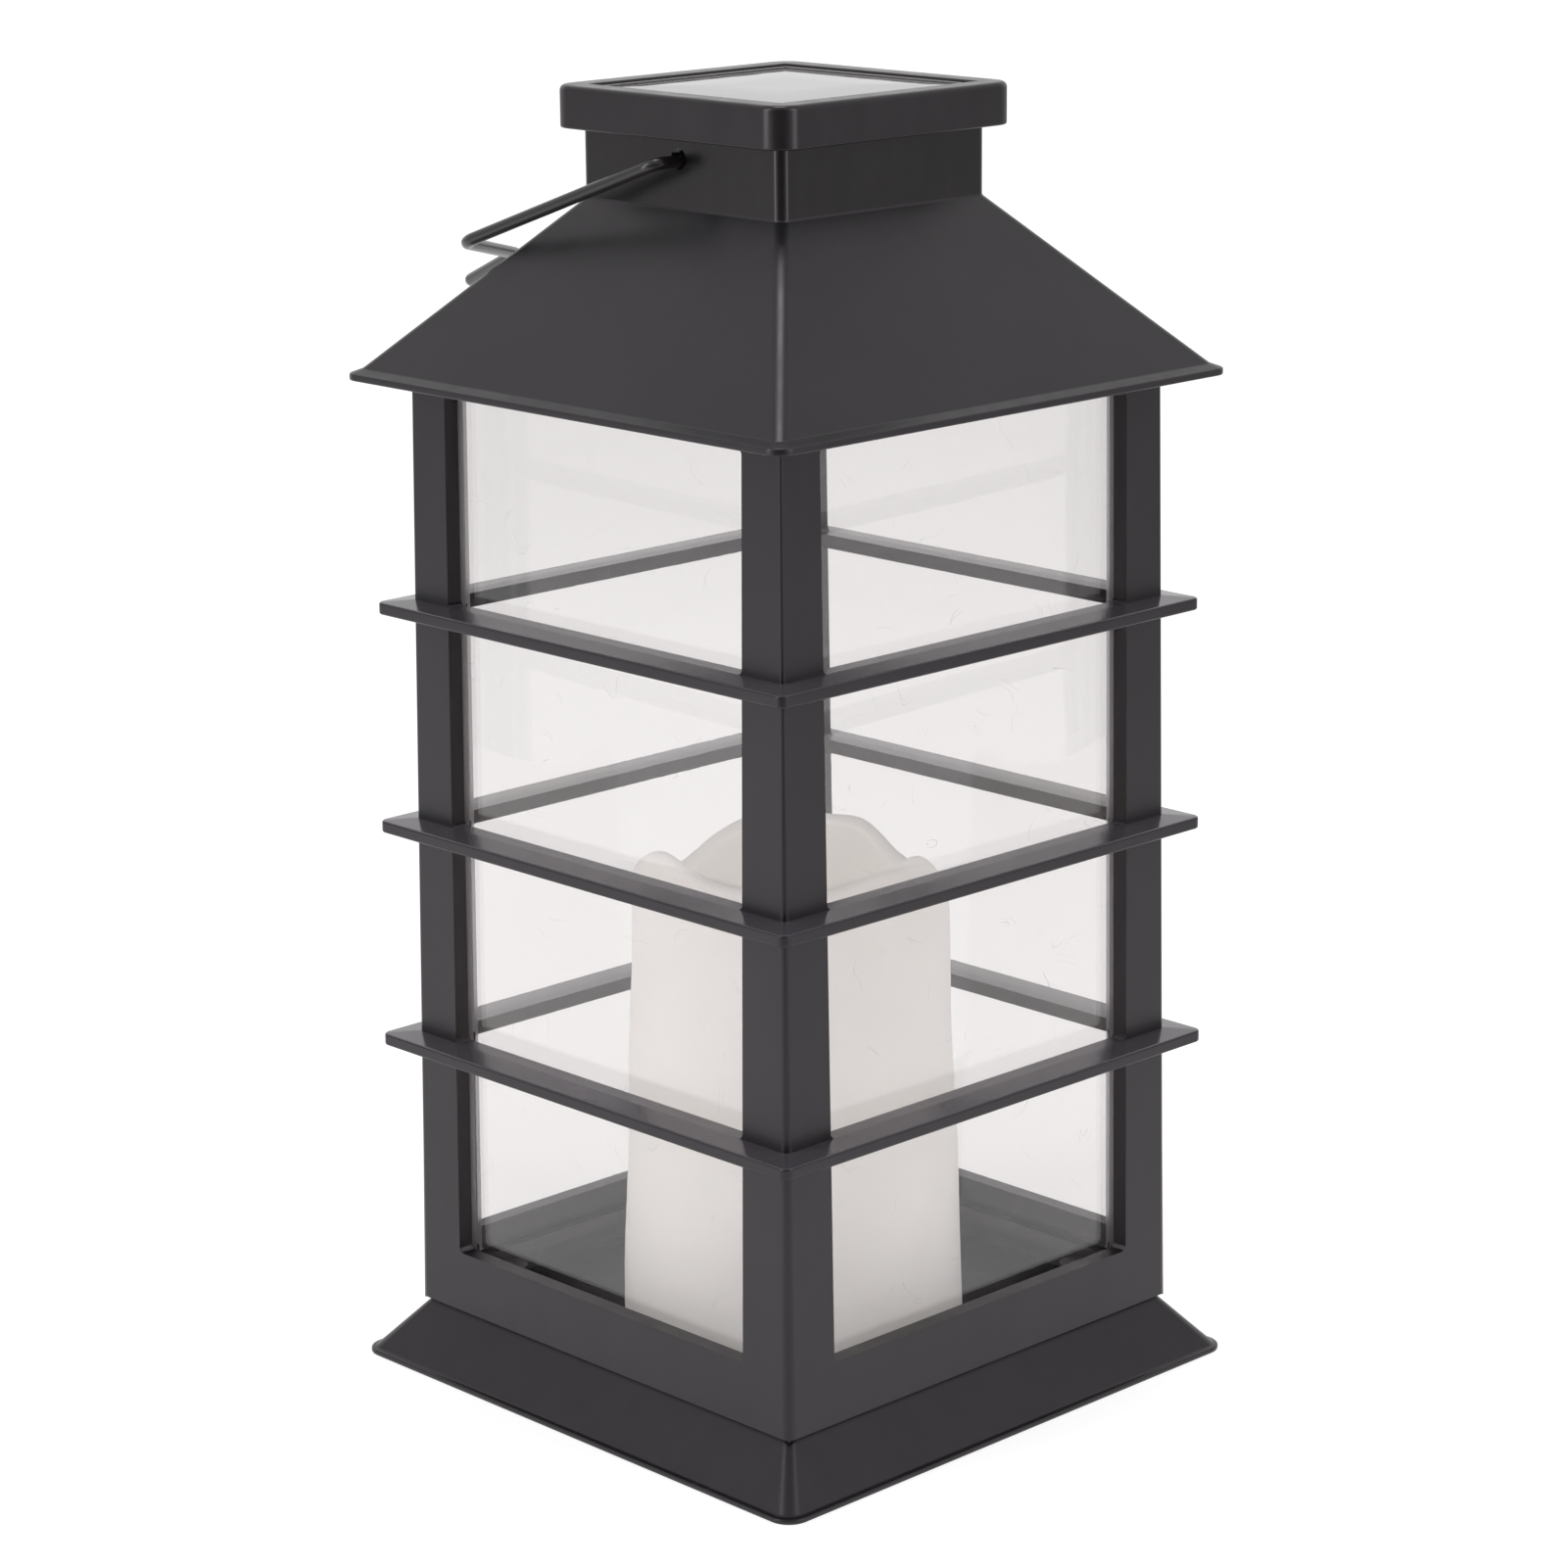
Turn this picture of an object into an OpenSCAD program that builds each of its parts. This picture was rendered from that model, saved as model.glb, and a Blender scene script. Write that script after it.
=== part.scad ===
// Square table lantern with a hipped roof, four glazed sides and a solar-charged LED candle.
// Millimetres. The origin is at the middle of the underside, +Z is up and the handle lies
// towards -X.

/* [Base] */
// Width of the foot across its lip
lip_w = 136.2; // [132:0.1:142]
// Thickness of the lip
lip_t = 1.1; // [0.8:0.1:1.6]
// How far the lip stands out from the skirt
lip_out = 1.2; // [0.8:0.1:2.2]
// Plan radius of the lip's corners
lip_r = 5; // [3:0.1:8]
// Height of the base
base_h = 12.4; // [12:0.1:15]
// Width of the skirt where it meets the body
skirt_top_w = 115; // [113.5:0.1:116]
// Wall thickness of the skirt
skirt_t = 2; // [1.6:0.1:2.2]
// Height of the deck's upper face
deck_z = 8.5; // [8:0.1:9.5]
// Thickness of the deck
deck_t = 2.2; // [1.8:0.1:2.8]

/* [Body] */
// Width of the body at its foot
body_w = 116.9; // [116:0.1:118.5]
// How far each wall leans in between foot and eave
body_lean = 2.75; // [1.5:0.05:3]
// Plan radius of the body's corners
body_r = 2; // [1.5:0.1:3]
// Thickness of the posts, the sill and the top rail
wall_t = 3.6; // [3.2:0.1:4]
// Number of windows one above the other
rows = 4; // [3:1:5]
// Height of a window
window_h = 45.1; // [40:0.1:50]
// Width of a window
window_w = 90; // [88:0.5:92]
// Radius of a window's corners
window_r = 1.2; // [0.6:0.1:3]
// Height of the sill
sill_h = 14.2; // [13:0.1:18]
// Height of the top rail
rail_h = 2.3; // [2:0.1:4]
// Thickness of a ring where it leaves the wall
ring_t = 3.1; // [2.6:0.1:4]
// Thickness of a ring at its outer edge
ring_edge_t = 2.6; // [1.6:0.1:2.6]
// How far a ring stands out from the wall
ring_out = 5.8; // [3:0.1:7]
// Plan radius of a ring's corners
ring_r = 2; // [1:0.1:4]

/* [Panes] */
// Thickness of a pane
pane_t = 1.3; // [1:0.1:1.6]
// How far a pane reaches behind each post
pane_side = 2.5; // [2:0.1:2.6]
// How far a pane reaches below the sill's top
pane_drop = 6; // [4:0.1:7]
// Play on each face of a pane
pane_play = 0.1; // [0.05:0.05:0.2]
// Thickness of the lips and ledge that hold the panes
lip_wall_t = 1.5; // [1.2:0.1:1.8]

/* [Roof] */
// Width of the roof at the eave
eave_w = 132.1; // [128:0.1:138]
// Thickness of the eave's edge
eave_t = 1.4; // [1:0.1:2.4]
// Width of the flat step above the eave
eave_step = 2.5; // [1.5:0.1:3]
// Plan radius of the eave's corners
eave_r = 4; // [2:0.1:6]
// Width of the neck
neck_w = 59.5; // [56:0.1:60]
// Height of the slope above the eave step
slope_h = 35.6; // [33:0.1:40]
// Height of the neck
neck_h = 14.55; // [14:0.05:18]
// Plan radius of the hips and the neck's corners
hip_r = 2.3; // [1.5:0.1:4]
// Wall thickness of the roof
roof_t = 2.2; // [1.8:0.1:2.4]
// Height of the spigot that centres the roof
spigot_h = 4.4; // [3:0.1:5]
// Play between the roof and its spigot
spigot_play = 0.3; // [0.2:0.05:0.4]

/* [Cap] */
// Width of the cap
cap_w = 68.6; // [66:0.1:69]
// Height of the cap
cap_h = 8.85; // [8.6:0.05:11]
// Plan radius of the cap's corners
cap_r = 5.5; // [4:0.1:7]
// Radius of the cap's upper edge
cap_edge_r = 1.2; // [0.6:0.1:1.4]
// Width of the rim round the panel
rim_w = 6; // [4:0.1:6.4]
// Depth of the panel below the rim
panel_drop = 0.5; // [0.3:0.1:1]
// Thickness of the clear resin over the solar cells
resin_t = 1; // [0.8:0.1:1.2]
// Thickness of the solar board
solar_board_t = 1.2; // [0.8:0.1:1.4]
// Thickness of the panel's gasket
gasket_t = 0.5; // [0.3:0.1:0.6]
// Number of solar cells side by side
cell_count = 5; // [3:1:7]

/* [Handle] */
// Diameter of the handle's wire
wire_d = 2.7; // [2.2:0.1:3]
// Diameter of the holes that hold the wire's ends
pivot_hole_d = 4.4; // [3.6:0.1:4.6]
// Play below the wire in its hole
pivot_play = 0.35; // [0.2:0.05:0.4]
// Depth of the holes' centres below the cap
pivot_drop = 4.35; // [4.2:0.05:5]
// Reach of the legs from the pivot to the shoulders
leg_reach = 57.2; // [55:0.1:60]
// How far the wire runs inside the neck
wire_inside = 6; // [4:0.1:8]
// Distance of the legs' tops from the middle
leg_top_y = 36.6; // [36.4:0.1:39]
// Distance of the shoulders from the middle
shoulder_y = 42; // [40:0.1:45]
// Reach of the hook's root and its distance from the middle
hook_root = [78, 11];
// Reach of the hook's tip and the half width of its end
hook_tip = [104.5, 4.2];
// Angle of the handle below level, where it lies
handle_tilt = 20.6; // [0:0.1:24]

/* [Candle] */
// Outer radius of the candle at its foot
candle_r = 37.6; // [36.5:0.1:39]
// Height of the candle
candle_h = 107; // [90:0.5:120]
// How much the candle narrows towards the top
candle_taper = 4.1; // [2:0.1:5]
// Wall thickness of the candle
candle_t = 2.4; // [1.8:0.1:3]
// Thickness of the candle's rounded rim
candle_rim_t = 4.2; // [3.2:0.1:4.5]
// How strongly the rim rises and falls, as a share of its melted shape
candle_melt = 1; // [0:0.1:1.1]
// Height of the light above the deck
led_h = 83.5; // [60:0.5:85]

/* [Electrics] */
// Diameter of the cell, size AAA
cell_d = 10.5; // [10.5:0.1:10.5]
// Length of the cell, size AAA
cell_l = 44.5; // [44.5:0.1:44.5]
// Play round the cell in its box
cell_play = 0.3; // [0.2:0.1:0.4]
// Room for the spring at the cell's negative end
spring_l = 3.3; // [2.8:0.1:3.6]
// Thickness of the contacts' sheet
contact_t = 0.4; // [0.3:0.05:0.5]
// Wall thickness of the cell's box
box_t = 1.6; // [1.4:0.1:1.8]
// Thickness of the bottom cover
cover_t = 2; // [1.9:0.1:2.4]
// Length, width and thickness of the circuit board
board = [34, 18, 1.2];
// Travel of the switch's knob
switch_travel = 2; // [1.5:0.1:2.4]
// Outer diameter of the light's stalk
stalk_d = 6; // [5.8:0.1:6.4]
// Diameter of the two-core lead from the panel
lead_d = 2.2; // [1.8:0.1:2.4]

/* [Hidden] */
$fn = 48;

plastic_black = [0.17, 0.165, 0.17];
plastic_dark = [0.12, 0.12, 0.125];
steel = [0.62, 0.63, 0.65];
copper_green = [0.1, 0.33, 0.2];
wire_red = [0.6, 0.1, 0.1];

// Cuts run this far past the faces that they open
over = 1;
// How far pieces of one solid run into each other
bite = 0.4;
corner_steps = 4;
bend_steps = 6;
// Bend radius of a lead, in its own radii
lead_bend = 2.5;
corners = [[1, 1], [-1, 1], [-1, -1], [1, -1]];

// Levels and widths of the shell
skirt_foot_half = lip_w / 2 - lip_out;
body_top = base_h + sill_h + rows * window_h + (rows - 1) * ring_t + rail_h;
slope_z = body_top + eave_t + 1;
neck_z = slope_z + slope_h;
cap_z = neck_z + neck_h;
top_z = cap_z + cap_h;
neck_half = neck_w / 2;
slope_half = eave_w / 2 - eave_step;
slope_run = (slope_half - neck_half) / slope_h;
roof_side_t = roof_t * sqrt(1 + slope_run * slope_run);

// Panes and what holds them
pane_slot = pane_t + 2 * pane_play;
pane_half = window_w / 2 + pane_side;
pane_z = base_h + sill_h - pane_drop;
pane_top = body_top - 0.4;
column_in = pane_half + 0.3;
lip_in = window_w / 2 + 1.5;
ledge_h = 3;
seat_lip_h = 3;
lip_drop = 1.5;

// Screws and their bosses
screw_at = 44;
screw_r = 1.4;
screw_head = [2.8, 1.8];
screw_play = 0.05;
hole_play = 0.3;
cover_play = 0.5;
boss_r = 3.8;
boss_h = 8;
boss_top = base_h + boss_h;
screw_seat = 3.2;
tab_t = 2.5;
tab_in = screw_at - 4.5;
roof_screw_l = 12;
roof_boss_h = roof_screw_l - tab_t + 1.5;
small_screw_r = 1;
small_head = [1.9, 1.4];
cap_screw_at = 18;
cap_floor_t = 2;
bulkhead_t = 2;

// Spigot of the body and the opening of the roof
spigot_half = body_w / 2 - body_lean - 2.2;
spigot_t = 2.4;
roof_open_half = spigot_half + spigot_play;

// Panel
panel_play = 0.3;
pocket_half = cap_w / 2 - rim_w;
panel_half = pocket_half - panel_play;
resin_z = top_z - panel_drop - resin_t;
solar_board_z = resin_z - solar_board_t;
gasket_z = solar_board_z - gasket_t;
gasket_w = 3.5;
cap_hollow_half = panel_half - gasket_w;
solar_cell_t = 0.3;
solar_cell_gap = 1;
solar_cell_l = 2 * panel_half - 6;
solar_cell_w = (solar_cell_l + solar_cell_gap) / cell_count - solar_cell_gap;

// Handle
pivot_hole_z = cap_z - pivot_drop;
pivot_z = pivot_hole_z - pivot_hole_d / 2 + pivot_play + wire_d / 2;
wire_end_y = neck_half - roof_t - wire_inside;
wire_half = [
    [[0, wire_end_y], 0],
    [[0, leg_top_y], 3],
    [[leg_reach, shoulder_y], 5.5],
    [hook_root, 4],
    [hook_tip, 3.6]
];
wire_corners = concat(
    [for (c = wire_half) [[-c[0].x, -c[0].y, 0], c[1]]],
    [for (i = [len(wire_half) - 1:-1:0]) [[-wire_half[i][0].x, wire_half[i][0].y, 0],
        wire_half[i][1]]]
);

// Candle and its seat
candle_play = 0.3;
candle_in_r = candle_r - candle_t;
seat_r = candle_in_r - candle_play;
seat_t = 1.6;
seat_h = 3;
candle_turns = 48;
// Rise of the melted rim over the candle's height, every 15 degrees from +X
rim_step = 15;
rim_rise = [2.5, 3.1, -2.1, -6.3, -8.1, -8.3, -6.3, -0.6, 0, 0.2, -0.2, -3.3, -7.8, -8.9, -7.7,
    -3.7, 1.1, 4.4, 3.1, 0.7, -0.3, -0.8, -0.5, 1.4];

// Cell box, on the bottom cover below the deck's opening
cell_y = -12;
box_in = [cell_l + spring_l + 2 * contact_t, cell_d + 2 * cell_play];
box_out = [box_in.x + 2 * box_t, box_in.y + 2 * box_t];
rebate = [box_in.x + 1.8, box_in.y + 1.8, 1.8];
door = [rebate.x - 0.6, rebate.y - 0.6, 1.5];
door_z = 0.2;
door_axis = [-door.x / 2 + door.z / 2, door_z + door.z / 2];
cell_z = rebate.z + 0.4 + cell_d / 2 + cell_play;
box_top = cell_z + cell_d / 2 + cell_play + box_t;
cell_end_x = box_in.x / 2 - contact_t;
tail_h = 1.4;

// Board, switch and stalk, all inside the candle
stalk_r = stalk_d / 2;
stalk_bore_r = stalk_r - 1;
socket_t = 1;
socket_h = 6;
board_y = stalk_r + socket_t + 0.6 + board.y / 2;
board_z = 7.4;
board_top = board_z + board.z;
board_screw_at = [13, board_y + 5];
lead_hole_at = [board.x / 2 - 2, board_y - 3];
board_post_r = 2.4;
board_screw_l = 4;
switch_box = [9.4, 4.4, 3.6];
switch_y = board_y + board.y / 2 - 4;
knob = [1.6, 1.5];
knob_root = [3.2, 2.2, 1];
knob_x = -switch_travel / 2;
knob_play = 0.3;
led_z = deck_z + led_h;
led_wire_r = 0.5;
led_wire_x = 0.8;
led_wire_z = board_top + 1.6;
// Flat parts on the board: size, and place from the board's middle
board_chips = [[[5, 4, 1.6], [-4, 1]], [[3.2, 1.6, 1], [0, 5.5]], [[3.2, 1.6, 1], [7, -5]]];
// Round parts on the board: radius, height, and place from the board's middle
board_cans = [[2.6, 5, [5, 2]], [2, 6, [-8.5, -4]]];

// Lead from the panel to the board: down the neck, under a slope and down a corner post
lead_r = lead_d / 2;
lead_play = 0.3;
lead_at = (column_in + body_w / 2 - body_lean - wall_t) / 2;
lead_neck = 7;
// Distances of the lead from two sides of the neck where it leaves the neck
lead_leave = [6, 10];
lead_leave_drop = 3;
lead_under = cover_t + (deck_z - deck_t - cover_t) / 2;
lead_roof_drop = 2.8;
lead_slope_y = boss_r + lead_r + 5 - screw_at;
lead_path = [
    [lead_neck, -lead_neck, solar_board_z],
    [lead_neck, -lead_neck, neck_z + 4],
    [neck_half - lead_leave.x, lead_leave.y - neck_half,
        roof_under(neck_half - lead_leave.x) - lead_roof_drop - lead_leave_drop],
    [lead_at, lead_slope_y, roof_under(lead_at) - lead_roof_drop],
    [lead_at, -lead_at, roof_under(lead_at) - lead_roof_drop],
    [lead_at, -lead_at, lead_under],
    [lead_at, -30, lead_under],
    [30, lead_hole_at.y, lead_under],
    [lead_hole_at.x, lead_hole_at.y, lead_under],
    [lead_hole_at.x, lead_hole_at.y, board_z]
];

// Half width of the body's wall at height z
function half_at(z) = body_w / 2 - body_lean * (z - base_h) / (body_top - base_h);

// Half width of the skirt at height z
function skirt_at(z) =
    skirt_foot_half - (skirt_foot_half - skirt_top_w / 2) * (z - lip_t) / (base_h - lip_t);

// Height of the roof's inner face at a distance from the middle
function roof_under(half) = slope_z + (slope_half - roof_side_t - half) / slope_run;

function window_z(row) = base_h + sill_h + row * (window_h + ring_t);

function unit(v) = v / norm(v);

// One level of a square loft: half width, corner radius and height
function loft_level(half, r, z) = [
    for (q = [0:3])
        for (i = [0:corner_steps])
            let (a = 90 * (q + i / corner_steps))
            [corners[q].x * (half - r) + r * cos(a), corners[q].y * (half - r) + r * sin(a), z]
];

// Solid between square levels with round corners, each [half width, corner radius, height]
module square_loft(levels) {
    n = 4 * (corner_steps + 1);
    last = n * (len(levels) - 1);
    polyhedron(
        points = [for (level = levels) each loft_level(level[0], level[1], level[2])],
        faces = concat(
            [[for (j = [0:n - 1]) j]],
            [for (i = [0:len(levels) - 2])
                for (j = [0:n - 1])
                    [i * n + j, (i + 1) * n + j, (i + 1) * n + (j + 1) % n, i * n + (j + 1) % n]],
            [[for (j = [0:n - 1]) last + n - 1 - j]]
        )
    );
}

// Solid that follows the body's leaning walls, set in from them
module wall_loft(inset, z_low, z_high, r = 1) {
    square_loft([[half_at(z_low) - inset, r, z_low], [half_at(z_high) - inset, r, z_high]]);
}

module rounded_rect(w, h, r) {
    square([w - 2 * r, h], center = true);
    square([w, h - 2 * r], center = true);
    for (c = corners)
        translate([c.x * (w / 2 - r), c.y * (h / 2 - r)])
            circle(r = r);
}

module square_plate(half, r, z_low, z_high) {
    translate([0, 0, z_low])
        linear_extrude(height = z_high - z_low)
            rounded_rect(2 * half, 2 * half, r);
}

module slab(size, at, z_low, z_high) {
    translate([at.x - size.x / 2, at.y - size.y / 2, z_low])
        cube([size.x, size.y, z_high - z_low]);
}

module post(r, at, z_low, z_high) {
    translate([at.x, at.y, z_low])
        cylinder(r = r, h = z_high - z_low);
}

// The four corner squares that lie further out than a distance from the middle
module corner_blocks(from) {
    size = body_w;
    for (c = corners)
        translate([c.x * (from + size / 2), c.y * (from + size / 2), body_top / 2])
            cube([size, size, 2 * body_top], center = true);
}

// Pan-head screws at the four corners, heads down, seated at height z
module corner_screws(at, z, shank_r, head, length) {
    for (c = corners) {
        post(head[0], at * c, z - head[1], z);
        post(shank_r, at * c, z - bite, z + length);
    }
}

// Path with its inner corners rounded to arcs; each corner is [point, bend radius]
function rounded_path(corners_of) = let (last = len(corners_of) - 1) concat(
    [corners_of[0][0]],
    [for (i = [1:last - 1]) each bend(corners_of[i - 1][0], corners_of[i][0],
        corners_of[i + 1][0], corners_of[i][1])],
    [corners_of[last][0]]
);

// Points along the arc that rounds the corner at p, between a and b
function bend(a, p, b, r) = let (
        before = unit(p - a),
        after = unit(b - p),
        turn = acos(before * after),
        centre = p + unit(after - before) * r / cos(turn / 2),
        from = p - before * r * tan(turn / 2) - centre,
        to = p + after * r * tan(turn / 2) - centre
    ) [for (i = [0:bend_steps]) let (s = i / bend_steps)
        centre + (sin((1 - s) * turn) * from + sin(s * turn) * to) / sin(turn)];

// Outline of a round bar at each point of a path, carried on from point to point
function bar_rings(path, i, ring) = i == len(path) ? [] : let (
        along = unit(path[i] - path[i - 1]),
        ahead = i == len(path) - 1 ? along : unit(path[i + 1] - path[i]),
        across = along + ahead,
        next = [for (p = ring) p + along * ((path[i] - p) * across) / (along * across)]
    ) concat(next, bar_rings(path, i + 1, next));

// Round bar along a path
module bar(path, r, sides = 8) {
    along = unit(path[1] - path[0]);
    side = unit(cross(along, abs(along.z) > 0.9 ? [1, 0, 0] : [0, 0, 1]));
    up = cross(side, along);
    ring = [for (j = [0:sides - 1]) let (a = 360 * j / sides)
        path[0] + r * (cos(a) * side + sin(a) * up)];
    last = (len(path) - 1) * sides;
    polyhedron(
        points = concat(ring, bar_rings(path, 1, ring)),
        faces = concat(
            [[for (j = [0:sides - 1]) sides - 1 - j]],
            [for (i = [0:len(path) - 2])
                for (j = [0:sides - 1])
                    let (k = (j + 1) % sides, low = i * sides, high = low + sides)
                    each [[low + j, low + k, high + j], [high + j, low + k, high + k]]],
            [[for (j = [0:sides - 1]) last + j]]
        )
    );
}

// Insulated wire through points in space
module lead(points, r) {
    bar(rounded_path([for (p = points) [p, lead_bend * r]]), r);
}

// Flared foot with its deck and the ring that centres the candle
module base() {
    color(plastic_black)
    difference() {
        union() {
            difference() {
                square_loft([
                    [lip_w / 2, lip_r, 0],
                    [lip_w / 2, lip_r, lip_t],
                    [skirt_foot_half, lip_r - 1, lip_t + 0.3],
                    [skirt_top_w / 2, body_r, base_h]
                ]);
                square_loft([
                    [skirt_foot_half - skirt_t, body_r, -over],
                    [skirt_foot_half - skirt_t, body_r, lip_t],
                    [skirt_at(deck_z - deck_t) - skirt_t, body_r, deck_z - deck_t]
                ]);
                square_loft([
                    [skirt_at(deck_z) - skirt_t, body_r, deck_z],
                    [skirt_at(base_h + over) - skirt_t, body_r, base_h + over]
                ]);
            }
            post(seat_r, [0, 0], deck_z - bite, deck_z + seat_h);
        }
        post(seat_r - seat_t, [0, 0], -over, deck_z + seat_h + over);
        for (c = corners)
            post(screw_r + hole_play, screw_at * c, 0, base_h);
        post(lead_r + lead_play, [lead_at, -lead_at], 0, base_h);
    }
}

// Screwed plate below the deck, with the cell's box and the board's posts
module bottom_cover() {
    plate_half = skirt_at(max(lip_t, cover_t)) - skirt_t - cover_play;
    deck_under = deck_z - deck_t;
    color(plastic_black)
    difference() {
        union() {
            square_plate(plate_half, body_r, 0, cover_t);
            slab(box_out, [0, cell_y], cover_t - bite, box_top);
            for (c = corners)
                post(boss_r, screw_at * c, cover_t - bite, deck_under);
            for (side = [-1, 1])
                post(board_post_r, [side * board_screw_at.x, board_screw_at.y],
                    cover_t - bite, board_z);
            post(stalk_r + hole_play / 2 + socket_t, [0, 0], cover_t - bite, cover_t + socket_h);
        }
        slab(box_in, [0, cell_y], -over, box_top - box_t);
        slab(rebate, [0, cell_y], -over, rebate.z);
        for (side = [-1, 1])
            slab([contact_t + 0.2, 3], [side * (box_in.x / 2 - contact_t / 2), cell_y],
                box_top - 2 * box_t, box_top + over);
        for (c = corners) {
            post(screw_head[0] + hole_play, screw_at * c, -over, screw_seat);
            post(screw_r + hole_play, screw_at * c, 0, deck_z);
        }
        for (side = [-1, 1])
            post(small_screw_r + screw_play, [side * board_screw_at.x, board_screw_at.y],
                cover_t, board_z + over);
        post(stalk_r + hole_play / 2, [0, 0], cover_t, cover_t + socket_h + over);
        slab([knob.x + switch_travel + 2 * knob_play, knob.y + 2 * knob_play], [0, switch_y],
            -over, cover_t + over);
    }
}

// Door of the cell's box: it turns about its round end, at -X, and lifts off
module battery_door() {
    tongue_x = box_in.x / 2 - 0.6;
    color(plastic_dark)
    difference() {
        union() {
            translate([door_axis[0], cell_y, door_axis[1]])
                rotate([90, 0, 0])
                    cylinder(r = door.z / 2, h = door.y, center = true);
            translate([door_axis[0], cell_y - door.y / 2, door_z])
                cube([door.x - door.z / 2, door.y, door.z]);
            slab([0.8, 5], [tongue_x, cell_y], door_z + door.z - bite, rebate.z + 2);
        }
        slab([6, 5], [door.x / 2 - 5, cell_y], -over, door_z + 0.6);
    }
}

// Rechargeable AAA cell, along X with its positive end at +X
module battery_cell() {
    nub = [1.9, 0.8];
    color("yellowgreen")
    translate([cell_end_x, cell_y, cell_z])
        rotate([0, -90, 0]) {
            cylinder(r = nub[0], h = nub[1] + bite);
            translate([0, 0, nub[1]])
                cylinder(d = cell_d, h = cell_l - nub[1]);
        }
}

module contact_plate() {
    x = box_in.x / 2 - contact_t / 2;
    color(steel) {
        slab([contact_t, 8], [x, cell_y], cell_z - 3.4, box_top - box_t - 0.1);
        slab([contact_t, 2.4], [x, cell_y], box_top - box_t - 0.2, box_top + tail_h);
    }
}

// Sheet with a conical spring of one wire, pressed between the box's end and the cell
module contact_spring() {
    x = -box_in.x / 2 + contact_t;
    turns = 2.5;
    steps = 40;
    sides = 6;
    wire_r = 0.35;
    length = spring_l - 2 * wire_r + 0.15;
    color(steel) {
        slab([contact_t, 8], [x - contact_t / 2, cell_y], cell_z - 3.4, box_top - box_t - 0.1);
        slab([contact_t, 2.4], [x - contact_t / 2, cell_y], box_top - box_t - 0.2,
            box_top + tail_h);
        translate([x, cell_y, cell_z])
            polyhedron(
                points = [for (i = [0:steps]) let (t = i / steps, a = 360 * turns * t,
                        coil_r = 3.2 - 1.2 * t)
                    for (j = [0:sides - 1]) let (b = 360 * j / sides, r = coil_r + wire_r * cos(b))
                        [wire_r - 0.15 + length * t + wire_r * sin(b), r * cos(a), r * sin(a)]],
                faces = concat(
                    [[for (j = [0:sides - 1]) sides - 1 - j]],
                    [for (i = [0:steps - 1]) for (j = [0:sides - 1]) let (k = (j + 1) % sides)
                        [i * sides + j, i * sides + k, (i + 1) * sides + k, (i + 1) * sides + j]],
                    [[for (j = [0:sides - 1]) steps * sides + j]]
                )
            );
    }
}

// Wires from the contacts' tails to the board
module battery_leads() {
    tail_z = box_top + tail_h;
    pad_x = board.x / 2 - 3;
    pad_y = board_y - board.y / 2 + 2;
    color(wire_red)
    for (side = [-1, 1])
        lead([
            [side * (box_in.x / 2 - contact_t / 2), cell_y, tail_z],
            [side * (box_in.x / 2 - contact_t / 2), cell_y, tail_z + 1.5],
            [side * pad_x, pad_y, tail_z + 1.5],
            [side * pad_x, pad_y, board_top]
        ], led_wire_r);
}

module circuit_board() {
    color(copper_green)
    difference() {
        slab(board, [0, board_y], board_z, board_top);
        for (side = [-1, 1])
            post(small_screw_r + hole_play, [side * board_screw_at.x, board_screw_at.y],
                board_z - over, board_top + over);
    }
}

// Driver chip, coil, capacitors and terminals on the board
module board_components() {
    color("dimgray") {
        for (c = board_chips)
            slab(c[0], [c[1].x, board_y + c[1].y], board_top, board_top + c[0].z);
        for (c = board_cans)
            post(c[0], [c[2].x, board_y + c[2].y], board_top, board_top + c[1]);
    }
}

module board_screws() {
    color(steel)
    for (side = [-1, 1]) {
        post(small_head[0], [side * board_screw_at.x, board_screw_at.y], board_top,
            board_top + small_head[1]);
        post(small_screw_r, [side * board_screw_at.x, board_screw_at.y], board_z - board_screw_l,
            board_top + bite);
    }
}

module switch_body() {
    room = [knob_root.x + switch_travel + 2 * knob_play, knob_root.y + 2 * knob_play];
    color("silver")
    difference() {
        slab(switch_box, [0, switch_y], cover_t, cover_t + switch_box.z);
        slab(room, [0, switch_y], cover_t - over, cover_t + knob_root.z + 2 * knob_play);
    }
}

// Slide knob in its off position; it travels along +X
module switch_knob() {
    color(plastic_dark) {
        slab(knob_root, [knob_x, switch_y], cover_t + knob_play,
            cover_t + knob_play + knob_root.z);
        slab(knob, [knob_x, switch_y], 0.5, cover_t + knob_play + bite);
    }
}

// Tube that carries the light, open at one side of its foot for the light's wires
module led_stalk() {
    color("white")
    difference() {
        post(stalk_r, [0, 0], cover_t, led_z);
        post(stalk_bore_r, [0, 0], cover_t + 1.2, led_z + over);
        slab([2 * led_wire_x + 1.8, stalk_d], [0, stalk_r], cover_t + socket_h, led_wire_z + 1.2);
    }
}

module led() {
    color("ivory")
    translate([0, 0, led_z]) {
        cylinder(r = 2.9, h = 1);
        cylinder(r = 2.5, h = 6.1);
        translate([0, 0, 6.1])
            sphere(r = 2.5);
    }
}

module led_leads() {
    color(wire_red)
    for (side = [-1, 1])
        lead([
            [side * led_wire_x, 0, led_z],
            [side * led_wire_x, 0, led_wire_z],
            [side * led_wire_x, board_y - board.y / 2 + 1.5, led_wire_z],
            [side * led_wire_x, board_y - board.y / 2 + 1.5, board_top]
        ], led_wire_r);
}

// Height of the rim in a direction
function rim_top(a) = candle_h + candle_melt * lookup(a, [for (i = [0:len(rim_rise)])
    [i * rim_step, rim_rise[i % len(rim_rise)]]]);

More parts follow.
